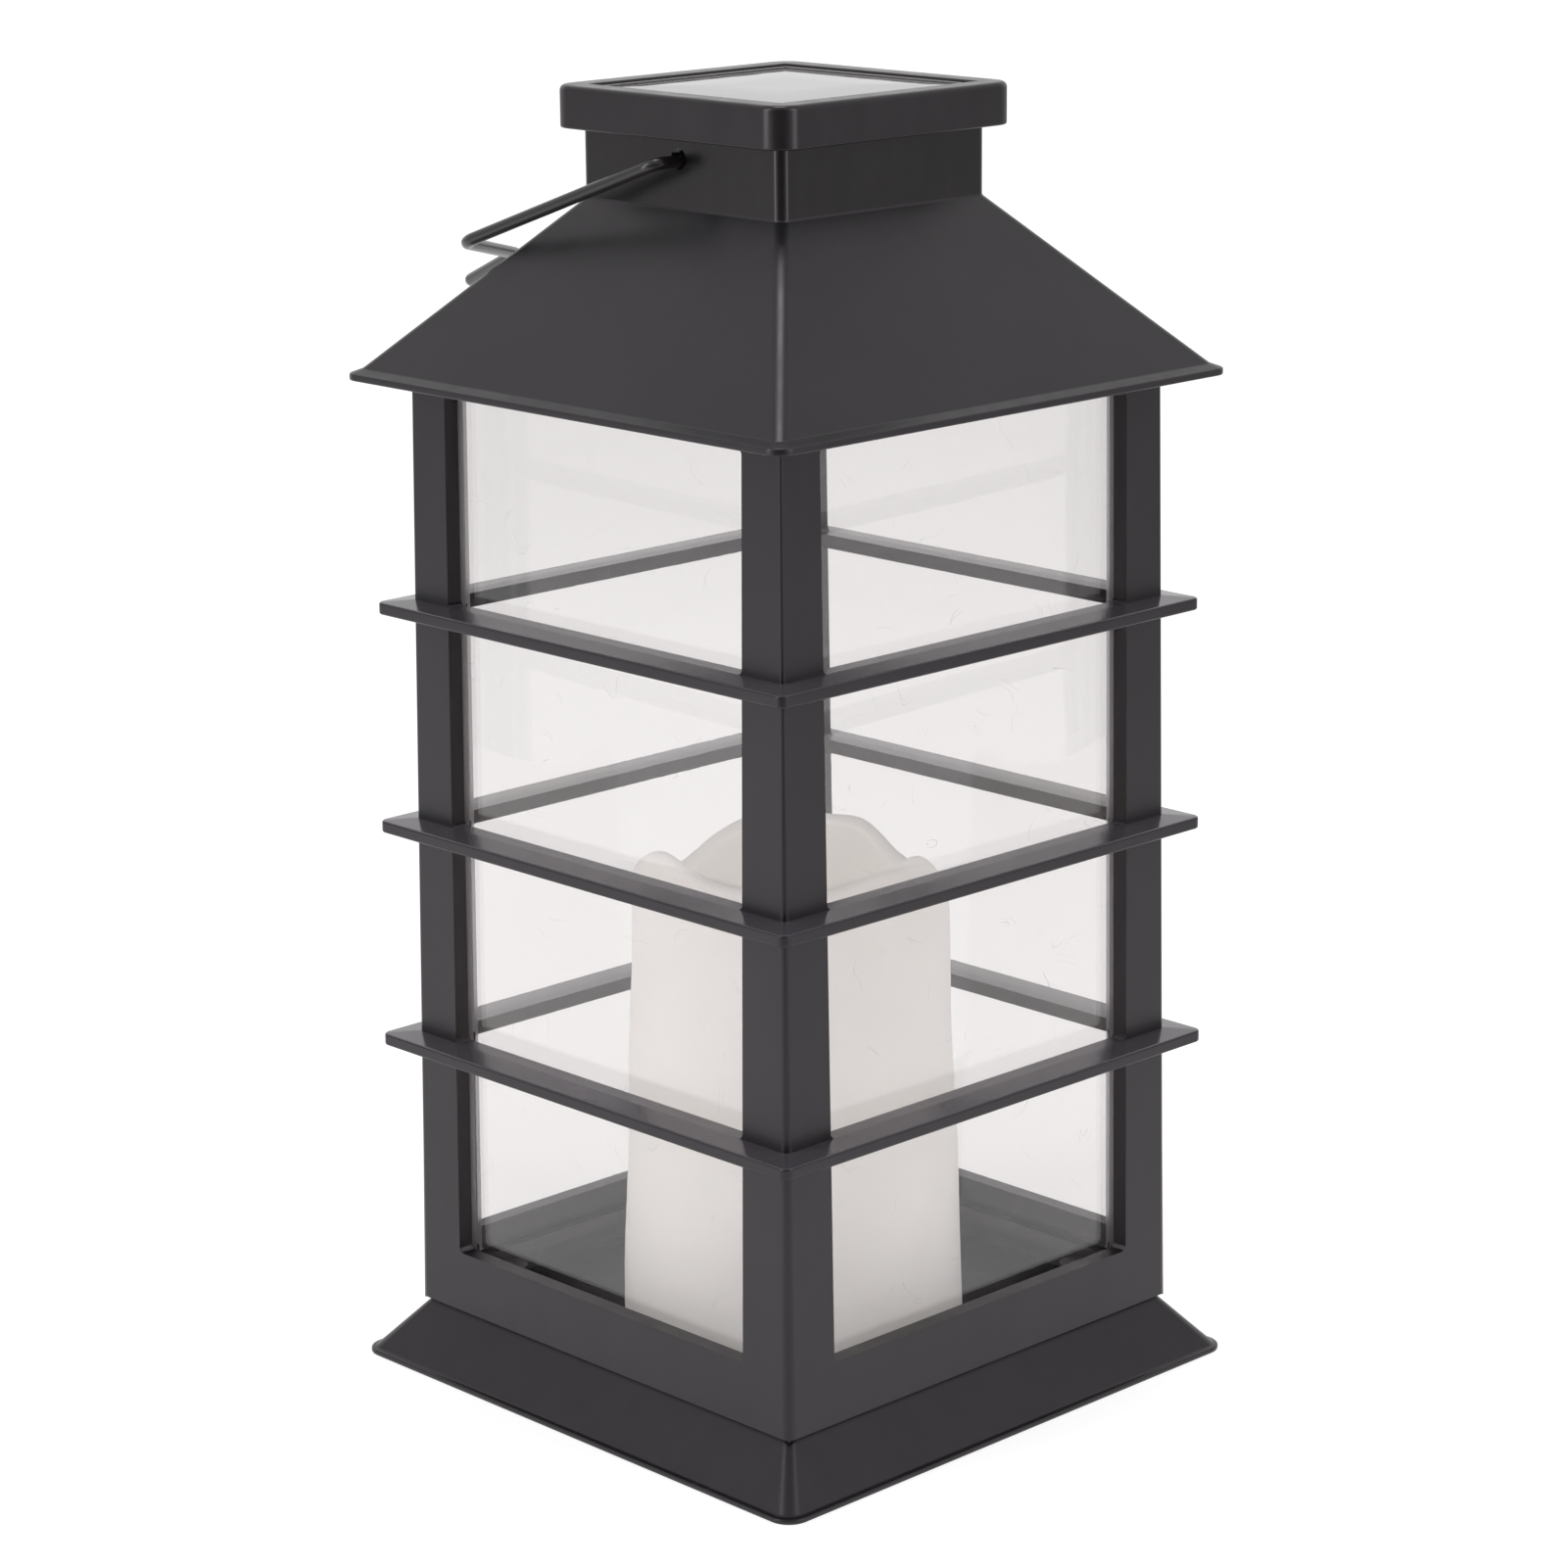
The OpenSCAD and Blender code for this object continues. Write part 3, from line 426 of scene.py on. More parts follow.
def frosted_candle():
    """PP, blow moulded and frosted: milky and warm, with a soft waxy unevenness; light caught
    inside its wall evens out its shadows, and a faint painted glow lifts the shaded side."""
    material, tree, place = new_material("frosted_candle_with_painted_glow")
    clouds = add_node(tree, "ShaderNodeTexNoise",
                      {"Vector": place, "Scale": 1 / (18 * MM), "Detail": 2}).outputs["Fac"]
    tint = add_node(tree, "ShaderNodeMix",
                    {"Factor": clouds, "A": colour("#e4e2df"), "B": colour("#edebe8")},
                    data_type="RGBA").outputs["Result"]
    frost = add_node(tree, "ShaderNodeTexNoise",
                     {"Vector": place, "Scale": 1 / (0.9 * MM), "Detail": 2}).outputs["Fac"]
    relief = add_node(tree, "ShaderNodeBump",
                      {"Height": frost, "Strength": 0.25, "Distance": 0.05 * MM}
                      ).outputs["Normal"]
    shader = add_node(tree, "ShaderNodeBsdfPrincipled",
                      {"Base Color": tint, "Roughness": 0.55, "Normal": relief,
                       "Subsurface Weight": 0.7, "Subsurface Radius": (1, 0.9, 0.8),
                       "Subsurface Scale": 6 * MM, "IOR": 1.4,
                       # Painted glow: a faint white emission that brightens the candle's shade.
                       "Emission Color": colour("#fffbf8"), "Emission Strength": 0.16})
    add_node(tree, "ShaderNodeOutputMaterial", {"Surface": shader.outputs[0]})
    return material


def coated_wire():
    """Steel wire, gloss black powder coat: deep black with sharp long highlights and a light
    orange peel."""
    material, tree, place = new_material("gloss_black_coated_steel")
    peel = add_node(tree, "ShaderNodeTexNoise",
                    {"Vector": place, "Scale": 1 / (1.2 * MM), "Detail": 2}).outputs["Fac"]
    relief = add_node(tree, "ShaderNodeBump",
                      {"Height": peel, "Strength": 0.2, "Distance": 0.05 * MM}
                      ).outputs["Normal"]
    shader = add_node(tree, "ShaderNodeBsdfPrincipled",
                      {"Base Color": colour("#1d1a1a"), "Roughness": 0.28, "Normal": relief,
                       "IOR": 1.55})
    add_node(tree, "ShaderNodeOutputMaterial", {"Surface": shader.outputs[0]})
    return material


def clear_resin():
    """Epoxy, cast over the solar cells: a level glassy layer with a little haze."""
    material, tree, place = new_material("clear_cast_epoxy")
    flow = add_node(tree, "ShaderNodeTexNoise",
                    {"Vector": place, "Scale": 1 / (9 * MM), "Detail": 2}).outputs["Fac"]
    relief = add_node(tree, "ShaderNodeBump",
                      {"Height": flow, "Strength": 0.1, "Distance": 0.3 * MM}).outputs["Normal"]
    shader = add_node(tree, "ShaderNodeBsdfPrincipled",
                      {"Base Color": colour("#8f8c8d"), "Roughness": 0.06, "IOR": 1.52,
                       "Transmission Weight": 0.35, "Normal": relief})
    add_node(tree, "ShaderNodeOutputMaterial", {"Surface": shader.outputs[0]})
    return material


def silicon_cell():
    """Polycrystalline silicon, sawn and etched: dark blue-grey flakes."""
    material, tree, place = new_material("polycrystalline_silicon")
    flakes = add_node(tree, "ShaderNodeTexVoronoi", {"Vector": place, "Scale": 1 / (3 * MM)}
                      ).outputs["Color"]
    grey = add_node(tree, "ShaderNodeRGBToBW", {"Color": flakes}).outputs[0]
    tint = add_node(tree, "ShaderNodeMix",
                    {"Factor": grey, "A": colour("#1b2233"), "B": colour("#33405c")},
                    data_type="RGBA").outputs["Result"]
    shader = add_node(tree, "ShaderNodeBsdfPrincipled",
                      {"Base Color": tint, "Roughness": 0.3, "Metallic": 0.2})
    add_node(tree, "ShaderNodeOutputMaterial", {"Surface": shader.outputs[0]})
    return material


def plain_finish(name, dark, light, rough, size_mm, metallic=0.0):
    """Small parts as plated, moulded, extruded or printed: an even colour with slight mottling
    and a fine surface."""
    material, tree, place = new_material(name)
    mottle = add_node(tree, "ShaderNodeTexNoise",
                      {"Vector": place, "Scale": 1 / (size_mm * MM), "Detail": 3}).outputs["Fac"]
    tint = add_node(tree, "ShaderNodeMix",
                    {"Factor": mottle, "A": colour(dark), "B": colour(light)},
                    data_type="RGBA").outputs["Result"]
    worn = add_node(tree, "ShaderNodeMapRange",
                    {"Value": mottle, "From Min": 0.3, "From Max": 0.7,
                     "To Min": rough - 0.04, "To Max": rough + 0.06}).outputs["Result"]
    relief = add_node(tree, "ShaderNodeBump",
                      {"Height": mottle, "Strength": 0.2, "Distance": 0.03 * MM}
                      ).outputs["Normal"]
    shader = add_node(tree, "ShaderNodeBsdfPrincipled",
                      {"Base Color": tint, "Roughness": worn, "Metallic": metallic,
                       "Normal": relief})
    add_node(tree, "ShaderNodeOutputMaterial", {"Surface": shader.outputs[0]})
    return material


SHELL = shell_plastic("satin_black_pp_moulded", "#0f0e10", "#141315", 0.34)
CAP_SHELL = shell_plastic("smooth_black_pp_moulded", "#0e0d0e", "#131213", 0.3, 0.6, 0.008)
NECK_SHELL = shell_plastic("polished_black_pp_moulded", "#0a0a0a", "#0e0e0e", 0.25, 0.6, 0.008)
# Lighter black for upward faces, the deck and the inner sill faces: real dust plus a painted sheen
# for the light these faces catch from above.
DUST_AND_SHEEN_SHELL = shell_plastic("glossed_black_pp_dust_and_painted_sheen", "#434045", "#4b484d", 0.18, 0.6, 0.002, 1.6)
PANE = clear_pane_sheet()
PALE_EDGE_STRIP = pale_edge_strip()
CANDLE = frosted_candle()
WIRE = coated_wire()
RESIN = clear_resin()
SILICON = silicon_cell()
ZINC = plain_finish("zinc_plated_steel", "#8d9094", "#a9acb0", 0.32, 0.8, 1.0)
BOARD = plain_finish("green_solder_mask", "#12502c", "#176237", 0.35, 2)
PANEL_BOARD = plain_finish("white_panel_board", "#9da3ab", "#b3b8bf", 0.35, 3)
RUBBER = plain_finish("black_seal_rubber", "#161616", "#1e1e1e", 0.7, 0.7)
SLEEVE = plain_finish("soft_pvc_insulation", "#1b1a1a", "#262424", 0.5, 1)
RED_SLEEVE = plain_finish("red_pvc_insulation", "#6d1a18", "#842320", 0.5, 1)
CELL_SLEEVE = plain_finish("green_shrink_sleeve", "#2c6b35", "#37803f", 0.3, 4)
BLACK_PARTS = plain_finish("black_moulded_parts", "#17171a", "#222225", 0.45, 0.8)
WHITE_TUBE = plain_finish("white_moulded_tube", "#d9d7d2", "#e6e4df", 0.45, 2)
LENS = plain_finish("warm_epoxy_lens", "#efe2bd", "#f5ecd2", 0.12, 2)


# --- Foot, deck and underside ------------------------------------------------------------------

def make_base():
    """Flared skirt on its lip, with the deck and the ring that centres the candle."""
    run = (FOOT_HALF - SKIRT_TOP_HALF) / (JOINT_Z - LIP_T)
    deck_half = SKIRT_TOP_HALF + (JOINT_Z - DECK_Z) * run - SKIRT_T
    deck_low, ring_top = DECK_Z - DECK_T, DECK_Z + CANDLE_RING_H
    profile = fillet([
        (FOOT_HALF - SKIRT_T, 0, 0.3),
        (LIP_HALF, 0, 0.35),
        (LIP_HALF, LIP_T, 0.4),
        (FOOT_HALF, LIP_T + 0.1, 1.2),
        (SKIRT_TOP_HALF, JOINT_Z - 0.05, 0.2),
        (SKIRT_TOP_HALF - 0.5, JOINT_Z, 0),
        (SKIRT_TOP_HALF - SKIRT_T, JOINT_Z, 0),
        (FOOT_HALF - SKIRT_T, LIP_T, 0),
    ])
    skirt = square_sweep("foot_and_deck", profile, corner_radius(LIP_HALF, LIP_R, 2))
    ring_out = CANDLE_HIGH[0] - CANDLE_WALL_T - CANDLE_PLAY
    ring_in = ring_out - CANDLE_RING_T
    steps = 24
    outer = square_level(deck_half + 0.6, 2, 0, steps)
    turn = [math.atan2(p[1], p[0]) for p in outer]
    inner = [(ring_in * math.cos(a), ring_in * math.sin(a), 0) for a in turn]
    crest = [(ring_out * math.cos(a), ring_out * math.sin(a), 0) for a in turn]

    def raised(points, z):
        """The same outline at another height."""
        return [(x, y, z) for x, y, _ in points]

    levels = [raised(outer, deck_low), raised(outer, DECK_Z), raised(crest, DECK_Z),
              raised(crest, ring_top), raised(inner, ring_top), raised(inner, deck_low)]
    deck = make_object("deck", [p for level in levels for p in level], bridge(levels, True))
    combine(skirt, [deck])
    finish_mesh(skirt, SHELL, "lantern", ["base"])
    # Deck top and candle ring in the lighter black: dust plus painted sheen.
    add_finish(skirt, DUST_AND_SHEEN_SHELL, lambda p, n: DECK_Z - 0.1 < p.z < ring_top + 1
               and max(abs(p.x), abs(p.y)) < deck_half)


# --- Cage of the body --------------------------------------------------------------------------

def window_bottom(row):
    """Height of the lower edge of a row of windows."""
    return SILL_Z + row * (WINDOW_H + RING_T)


def make_wall():
    """Leaning wall that the windows are cut from, its foot set back to a dark seam."""
    seam_z = JOINT_Z + SEAM_H
    profile = [
        (wall_half(JOINT_Z) - WALL_T, JOINT_Z),
        (wall_half(JOINT_Z) - SEAM_IN, JOINT_Z),
        (wall_half(JOINT_Z) - SEAM_IN, seam_z),
        (wall_half(seam_z), seam_z),
        (wall_half(EAVE_Z), EAVE_Z),
        (wall_half(EAVE_Z) - WALL_T, EAVE_Z),
    ]
    return square_sweep("body_cage", profile, corner_radius(WALL_HALF, CORNER_R))


def make_window_cutter(row, quarter):
    """Block with round corners that cuts one window; each sits a little left of its wall's
    middle."""
    middle = window_bottom(row) + WINDOW_H / 2
    ring = []
    for corner in range(4):
        mid = math.radians(45 + 90 * corner)
        cx = math.copysign(WINDOW_HALF - WINDOW_R, math.cos(mid)) - WINDOW_SHIFT
        cz = math.copysign(WINDOW_H / 2 - WINDOW_R, math.sin(mid)) + middle
        for i in range(7):
            a = math.radians(90 * (corner + i / 6))
            ring.append((cx + WINDOW_R * math.cos(a), cz + WINDOW_R * math.sin(a)))
    turn = Matrix.Rotation(math.radians(90 * quarter), 3, "Z")
    levels = [[turn @ Vector((x, y, z)) for x, z in ring]
              for y in (-WALL_HALF - 2, -WINDOW_HALF - 1)]
    return make_object("cutter", [p for level in levels for p in level], bridge(levels, False))


def make_ring(row):
    """Bar that runs round the body between two rows of windows, its top falling outwards."""
    low = window_bottom(row) - RING_T
    wall = wall_half(low)
    out = wall + RING_OUT
    profile = fillet([
        (wall - WALL_T, low, 0.15),
        (out, low, 0.45),
        (out, low + RING_EDGE_T, 0.5),
        (wall, low + RING_T, 0),
        (wall - WALL_T, low + RING_T, 0.2),
    ])
    return square_sweep("ring", profile, corner_radius(out, RING_R))


def make_pane_ledge():
    """Ledge inside the walls that the panes stand on."""
    low, high = PANE_LOW[2] - 3, PANE_LOW[2]
    inner = wall_half(high) - WALL_T - PANE_T - 1.7
    profile = [(inner, low), (wall_half(low) - 1, low), (wall_half(high) - 1, high), (inner, high)]
    return square_sweep("ledge", profile, corner_radius(WALL_HALF, CORNER_R))


def make_spigot():
    """Ring above the top rail that centres the roof."""
    out = ROOF_OPEN_HALF - SEAT_PLAY
    low, high = EAVE_Z - 0.5, EAVE_Z + SPIGOT_H
    profile = [(out, low), (out, high), (out - SPIGOT_T, high), (out - SPIGOT_T, low)]
    return square_sweep("spigot", profile, corner_radius(WALL_HALF, CORNER_R))


def make_pane_seat(quarter, low, high):
    """Corner seat that two panes' edges slip into."""
    seat, lip_in = PANE_HALF + SEAT_PLAY, WINDOW_HALF + 1.5
    levels = []
    turn = Matrix.Rotation(math.radians(90 * quarter), 3, "Z")
    for z in (low, high):
        inner = wall_half(z) - WALL_T
        slot = inner - PANE_T - 0.2
        lip = slot - 1.5
        outline = [(inner + 0.4, seat), (inner + 0.4, inner + 0.4), (seat, inner + 0.4),
                   (seat, slot), (lip_in, slot), (lip_in, lip), (lip, lip), (lip, lip_in),
                   (slot, lip_in), (slot, seat)]
        levels.append([turn @ Vector((x, y, z)) for x, y in outline])
    return make_object("seat", [p for level in levels for p in level], bridge(levels, False))


def make_parting_ridge(quarter):
    """Fine ridge that the halves of the mould leave down a corner."""
    turn = Matrix.Rotation(math.radians(90 * quarter + 45), 3, "Z")
    levels = []
    for z in (JOINT_Z + 0.3, EAVE_Z - 0.2):
        crest = (wall_half(z) - CORNER_R) * math.sqrt(2) + CORNER_R
        levels.append([turn @ Vector((crest + out, side, z)) for out, side in
                       ((-0.4, -0.2), (0.11, -0.1), (0.11, 0.1), (-0.4, 0.2))])
    return make_object("ridge", [p for level in levels for p in level], bridge(levels, False))


def make_cage():
    """The body: walls with windows, rings, spigot, pane seats and screw bosses, one moulding."""
    cage = make_wall()
    combine(cage, [make_window_cutter(row, quarter) for row in range(ROWS)
                   for quarter in range(4)], "DIFFERENCE")
    parts = [make_ring(row) for row in range(1, ROWS)]
    parts += [make_pane_ledge(), make_spigot()]
    seats = [(PANE_LOW[2] - 1, PANE_LOW[2] + 3), (EAVE_Z - 2.5, EAVE_Z - 0.05)]
    seats += [(window_bottom(row) - 4.5, window_bottom(row) - 1.5) for row in range(1, ROWS)]
    for low, high in seats:
        parts += [make_pane_seat(quarter, low, high) for quarter in (0, 1, 2)]
    parts.append(make_pane_seat(3, PANE_LOW[2] - 1, EAVE_Z - 0.05))
    rib_out = wall_half(JOINT_Z) - WALL_T + 0.4
    tab_in, tab_out = SCREW_AT - 4.5, wall_half(EAVE_Z) - WALL_T - PANE_T - 0.5
    rib_side = RIB_T / 2
    for sx in (-1, 1):
        for sy in (-1, 1):
            x, y = sx * SCREW_AT, sy * SCREW_AT
            parts += [
                post_object("boss", x, y, DECK_Z, JOINT_Z + 8, BOSS_R),
                box_object("rib", (x, y - rib_side, JOINT_Z + 0.1),
                           (sx * rib_out, y + rib_side, PANE_LOW[2] - 2.6)),
                box_object("rib", (x - rib_side, y, JOINT_Z + 0.15),
                           (x + rib_side, sy * rib_out, PANE_LOW[2] - 2.5)),
                box_object("tab", (sx * tab_in, sy * tab_in, EAVE_Z - 0.1 - TAB_T),
                           (sx * tab_out, sy * tab_out, EAVE_Z - 0.1)),
            ]
    combine(cage, parts)
    soften_edges(cage, 0.22)
    combine(cage, [make_parting_ridge(quarter) for quarter in range(4)])
    finish_mesh(cage, SHELL, "lantern", ["body_frame"])
    # Upward faces above the sill and inward faces below it in the lighter black: dust plus painted
    # sheen.
    add_finish(cage, DUST_AND_SHEEN_SHELL, lambda p, n: n.z > 0.7 and p.z > SILL_Z + 1
               or (p.z < SILL_Z + 1 and p.x * n.x + p.y * n.y < -20))


# --- Panes ---------------------------------------------------------------------------------------

def make_pane(side, quarter):
    """Moulded pane: a sheet whose pale border, a painted highlight, shows as a thin strip beside
    each opening.
    """
    low, high = PANE_LOW[2], PANE_HIGH[2]
    clear_half = WINDOW_HALF - PANE_RIM
    turn = Matrix.Rotation(math.radians(90 * quarter), 3, "Z")
    loops = []
    for half, inset, depth in ((PANE_HALF, 0, 0), (PANE_HALF, 0, PANE_T),
                               (clear_half, 1, PANE_T), (clear_half - 0.7, 1.7, PANE_T - 0.12)):
        loop = []
        for corner in range(4):
            mid = math.radians(45 + 90 * corner)
            cx = math.copysign(half - PANE_R, math.cos(mid))
            cz = math.copysign((high - low) / 2 - inset - PANE_R, math.sin(mid)) + (low + high) / 2
            for i in range(7):
                a = math.radians(90 * (corner + i / 6))
                x, z = cx + PANE_R * math.cos(a), cz + PANE_R * math.sin(a)
                loop.append(turn @ Vector((x, WALL_T + 0.1 + depth - wall_half(z), z)))
        loops.append(loop)
    pane = make_object("clear_pane_" + side, [p for loop in loops for p in loop],
                       bridge(loops, False))
    finish_mesh(pane, PANE, "lantern", ["pane_" + side], sharp=20)
    across, inward = turn @ Vector((1, 0, 0)), turn @ Vector((0, 1, 0))
    # The pale strip is a painted highlight for the bright line at the pane's edge.
    add_finish(pane, PALE_EDGE_STRIP, lambda p, n: abs(p.dot(across)) > clear_half
               and n.dot(inward) > 0.9)


# --- Roof, neck and cap ------------------------------------------------------------------------

def roof_corner(half, z):
    """Corner radius of the roof: wider at the eave, tight along the hips."""
    if z <= EAVE_Z + EAVE_T + 0.4 and half > EAVE_HALF - EAVE_STEP:
        return EAVE_R - (EAVE_HALF - half)
    return 2.3 if half >= NECK_HALF - 0.01 else 1.0


def make_roof():
    """Hipped shell with its eave, soffit and square neck, drilled for the handle."""
    slope_half = EAVE_HALF - EAVE_STEP
    run = (slope_half - NECK_HALF) / (NECK_Z - SLOPE_Z)
    side_t = ROOF_T * math.hypot(1, run)
    neck_in = NECK_HALF - ROOF_T
    soffit_z = EAVE_Z + ROOF_T
    profile = fillet([
        (ROOF_OPEN_HALF, EAVE_Z, 0.2),
        (EAVE_HALF, EAVE_Z, 0.35),
        (EAVE_HALF, EAVE_Z + EAVE_T, 0.5),
        (slope_half, SLOPE_Z, 1.0),
        (NECK_HALF, NECK_Z, 0.8),
        (NECK_HALF, CAP_Z, 0.25),
        (neck_in, CAP_Z, 0),
        (neck_in, SLOPE_Z + (slope_half - side_t - neck_in) / run, 0),
        (slope_half + (SLOPE_Z - soffit_z) * run - side_t, soffit_z, 0),
        (ROOF_OPEN_HALF, soffit_z, 0.2),
    ])
    roof = square_sweep("roof_shell", profile, roof_corner)
    bulkhead = square_sweep("bulkhead", [(neck_in + 0.3, CAP_Z - BULKHEAD_T),
                                         (neck_in + 0.3, CAP_Z - 0.1)],
                            lambda half, z: 1.0, closed=False)
    combine(roof, [bulkhead])
    drill = post_object("drill", 0, 0, -NECK_HALF - 1, NECK_HALF + 1, PIVOT_HOLE_D / 2, 48)
    drill.data.transform(Matrix.Translation((0, 0, PIVOT_HOLE_Z * MM))
                         @ Matrix.Rotation(math.radians(90), 4, "X"))
    combine(roof, [drill], "DIFFERENCE")
    finish_mesh(roof, SHELL, "lantern", ["roof"])
    add_finish(roof, NECK_SHELL, lambda p, n: p.z > NECK_Z + 0.9)


def make_cap():
    """Square cap with a rounded upper edge and the shelf that the solar panel lies on."""
    pocket = CAP_HALF - PANEL_RIM_W
    hollow = RESIN_HIGH[0] - PANEL_GASKET_W
    shelf_z = RESIN_LOW[2] - PANEL_BOARD_T - PANEL_GASKET_T
    floor_z = CAP_Z + CAP_FLOOR_T
    profile = fillet([
        (CAP_HALF, CAP_Z, 0.4),
        (CAP_HALF, TOP_Z, 1.2),
        (pocket, TOP_Z, 0.45),
        (pocket, shelf_z, 0.2),
        (hollow, shelf_z, 0),
        (hollow, floor_z, 0),
        (0.5, floor_z, 0),
        (0.5, CAP_Z, 0),
    ], 5)
    cap = square_sweep("cap_shell", profile, corner_radius(CAP_HALF, CAP_R), steps=10)
    finish_mesh(cap, CAP_SHELL, "lantern", ["cap"])


def make_resin():
    """Clear layer over the cells, its edge drawn down a little where it was cast."""
    half, high = RESIN_HIGH[0], RESIN_HIGH[2]
    low = RESIN_LOW[2] + 0.35
    profile = fillet([(half, low, 0), (half, high, 0.35), (half - 2, high, 0.2)])
    profile += [(half * share, high) for share in (0.6, 0.3)]
    resin = square_sweep("resin_cover", profile, corner_radius(half, 1.5, 0.3), closed=False)
    finish_mesh(resin, RESIN, "lantern", ["panel_resin"])


# --- Candle ------------------------------------------------------------------------------------

def make_candle():
    """Hollow frosted candle: a slightly wavy wall and a thick rim, melted low at two places
    behind and drawn up into two horns in front."""
    foot_r = CANDLE_HIGH[0]
    height = 107
    taper, rim = 4.1, 4.4
    # How far the rim stands over or under this height, every 15 degrees round.
    rise = (2.5, 3.1, -2.1, -6.3, -8.1, -8.3, -6.3, -0.6, 0, 0.2, -0.2, -3.3, -7.8, -8.9, -7.7,
            -3.7, 1.1, 4.4, 3.1, 0.7, -0.3, -0.8, -0.5, 1.4)
    turns, rises = 192, 46

    def top_at(a):
        """Height of the rim at a turn, on a smooth curve through the rises."""
        place = a / math.tau * len(rise)
        k = int(place)
        t = place - k
        p0, p1, p2, p3 = (rise[(k + i) % len(rise)] for i in (-1, 0, 1, 2))
        smooth = p1 + t * (p2 - p0 + t * (2 * p0 - 5 * p1 + 4 * p2 - p3
                                          + t * (3 * (p1 - p2) + p3 - p0))) / 2
        return height + smooth - 0.2

    def outside(a, z):
        """Radius of the outer wall at a turn and a height."""
        t = z / height
        wave = 0.45 * noise.noise(Vector((1.3 * math.cos(a), 1.3 * math.sin(a), z / 26)))
        swell = 0.25 * math.exp(-((z - 32) / 14) ** 2)
        return foot_r - 0.6 - taper * t * 0.88 + wave + swell

    verts = []
    count = 0
    for i in range(turns):
        a = math.tau * i / turns
        top = top_at(a)
        section = []
        for k in range(rises):
            z = (top - rim / 2) * k / (rises - 1)
            section.append((outside(a, z), z))
        lip_r = outside(a, top - rim / 2)
        for k in range(1, 8):
            b = math.pi * k / 8
            section.append((lip_r - rim / 2 + rim / 2 * math.cos(b),
                            top - rim / 2 + rim / 2 * math.sin(b)))
        section.append((lip_r - rim, top - rim / 2))
        section.append((lip_r - rim * 0.8, top - rim * 1.4))
        for k in range(8, -1, -1):
            z = (top - rim * 2.4) * k / 8
            section.append((outside(a, z) - CANDLE_WALL_T, z))
        count = len(section)
        verts += [(r * math.cos(a), r * math.sin(a), CANDLE_LOW[2] + z) for r, z in section]
    faces = []
    for i in range(turns):
        here, after = i * count, (i + 1) % turns * count
        for j in range(count):
            k = (j + 1) % count
            faces.append((here + j, here + k, after + k, after + j))
    candle = make_object("frosted_candle", verts, faces)
    finish_mesh(candle, CANDLE, "lantern", ["candle"], sharp=60)


# --- Handle ------------------------------------------------------------------------------------

def make_handle():
    """One bent wire: straight ends in the neck, legs, shoulders and the hanging loop."""
    # Distance from the pivots, half width and bend radius at each corner of one half.
    corners = [(0, 21.55, 0), (0, 36.6, 3), (57.2, 42, 5.5), (78, 11, 4), (104.45, 4.2, 3.6)]
    outline = corners + [(s, -y, r) for s, y, r in reversed(corners)]
    path = []
    for i, (s, y, radius) in enumerate(outline):
        if radius == 0:
            path.append(Vector((s, y)))
            continue
        here = Vector((s, y))
        before = (here - Vector(outline[i - 1][:2])).normalized()
        after = (Vector(outline[i + 1][:2]) - here).normalized()
        turn = before.angle(after)
        centre = here + (after - before).normalized() * radius / math.cos(turn / 2)
        start = here - before * radius * math.tan(turn / 2) - centre
        end = here + after * radius * math.tan(turn / 2) - centre
        for k in range(13):
            path.append(centre + start.slerp(end, k / 12) * radius)
    tilt = math.radians(HANDLE_TILT)
    points = [Vector((-p.x * math.cos(tilt), p.y, PIVOT_Z - p.x * math.sin(tilt))) for p in path]
    sides = 20
    out_of_plane = Vector((-math.sin(tilt), 0, math.cos(tilt)))
    levels = []
    for i, p in enumerate(points):
        ahead = points[min(i + 1, len(points) - 1)] - points[max(i - 1, 0)]
        across = ahead.normalized().cross(out_of_plane)
        levels.append([p + (across * math.cos(math.tau * k / sides)
                            + out_of_plane * math.sin(math.tau * k / sides)) * WIRE_D / 2
                       for k in range(sides)])
    wire = make_object("handle_wire", [v for level in levels for v in level],
                       bridge(levels, False))
    finish_mesh(wire, WIRE, "handle", ["handle"], sharp=60)


# --- Pieces that stay as packed, with their finishes --------------------------------------------

def dress_packed_pieces():
    """Their materials; most of these pieces sit inside or underneath."""
    for name, material in (
            ("bottom_cover", SHELL), ("battery_door", CAP_SHELL), ("battery_cell", CELL_SLEEVE),
            ("contact_plate", ZINC), ("contact_spring", ZINC), ("battery_leads", RED_SLEEVE),
            ("circuit_board", BOARD), ("board_components", BLACK_PARTS), ("board_screws", ZINC),
            ("switch_body", ZINC), ("switch_knob", BLACK_PARTS), ("led_stalk", WHITE_TUBE),
            ("led", LENS), ("led_leads", RED_SLEEVE), ("solar_board", PANEL_BOARD),
            ("solar_cells", SILICON), ("panel_gasket", RUBBER), ("solar_lead", SLEEVE),
            ("base_screws", ZINC), ("roof_screws", ZINC), ("cap_screws", ZINC)):
        mesh = nodes[name].data
        mesh.materials.clear()
        mesh.materials.append(material)


# --- Surroundings, lamps and camera ------------------------------------------------------------

VIEW_RIGHT = (0.697, 0.717, 0)
VIEW_BACK = (-0.718, 0.696, 0)
LANTERN_MIDDLE = Vector((0, 0, 0.15))


def brighter_to_camera(tree, level, full):
    """Strength that the camera sees in full, and that lights the lantern by its level."""
    seen = add_node(tree, "ShaderNodeLightPath").outputs["Is Camera Ray"]
    most = add_node(tree, "ShaderNodeMath", {0: seen, 1: level}, operation="MAXIMUM").outputs[0]
    return add_node(tree, "ShaderNodeMath", {0: most, 1: full}, operation="MULTIPLY").outputs[0]


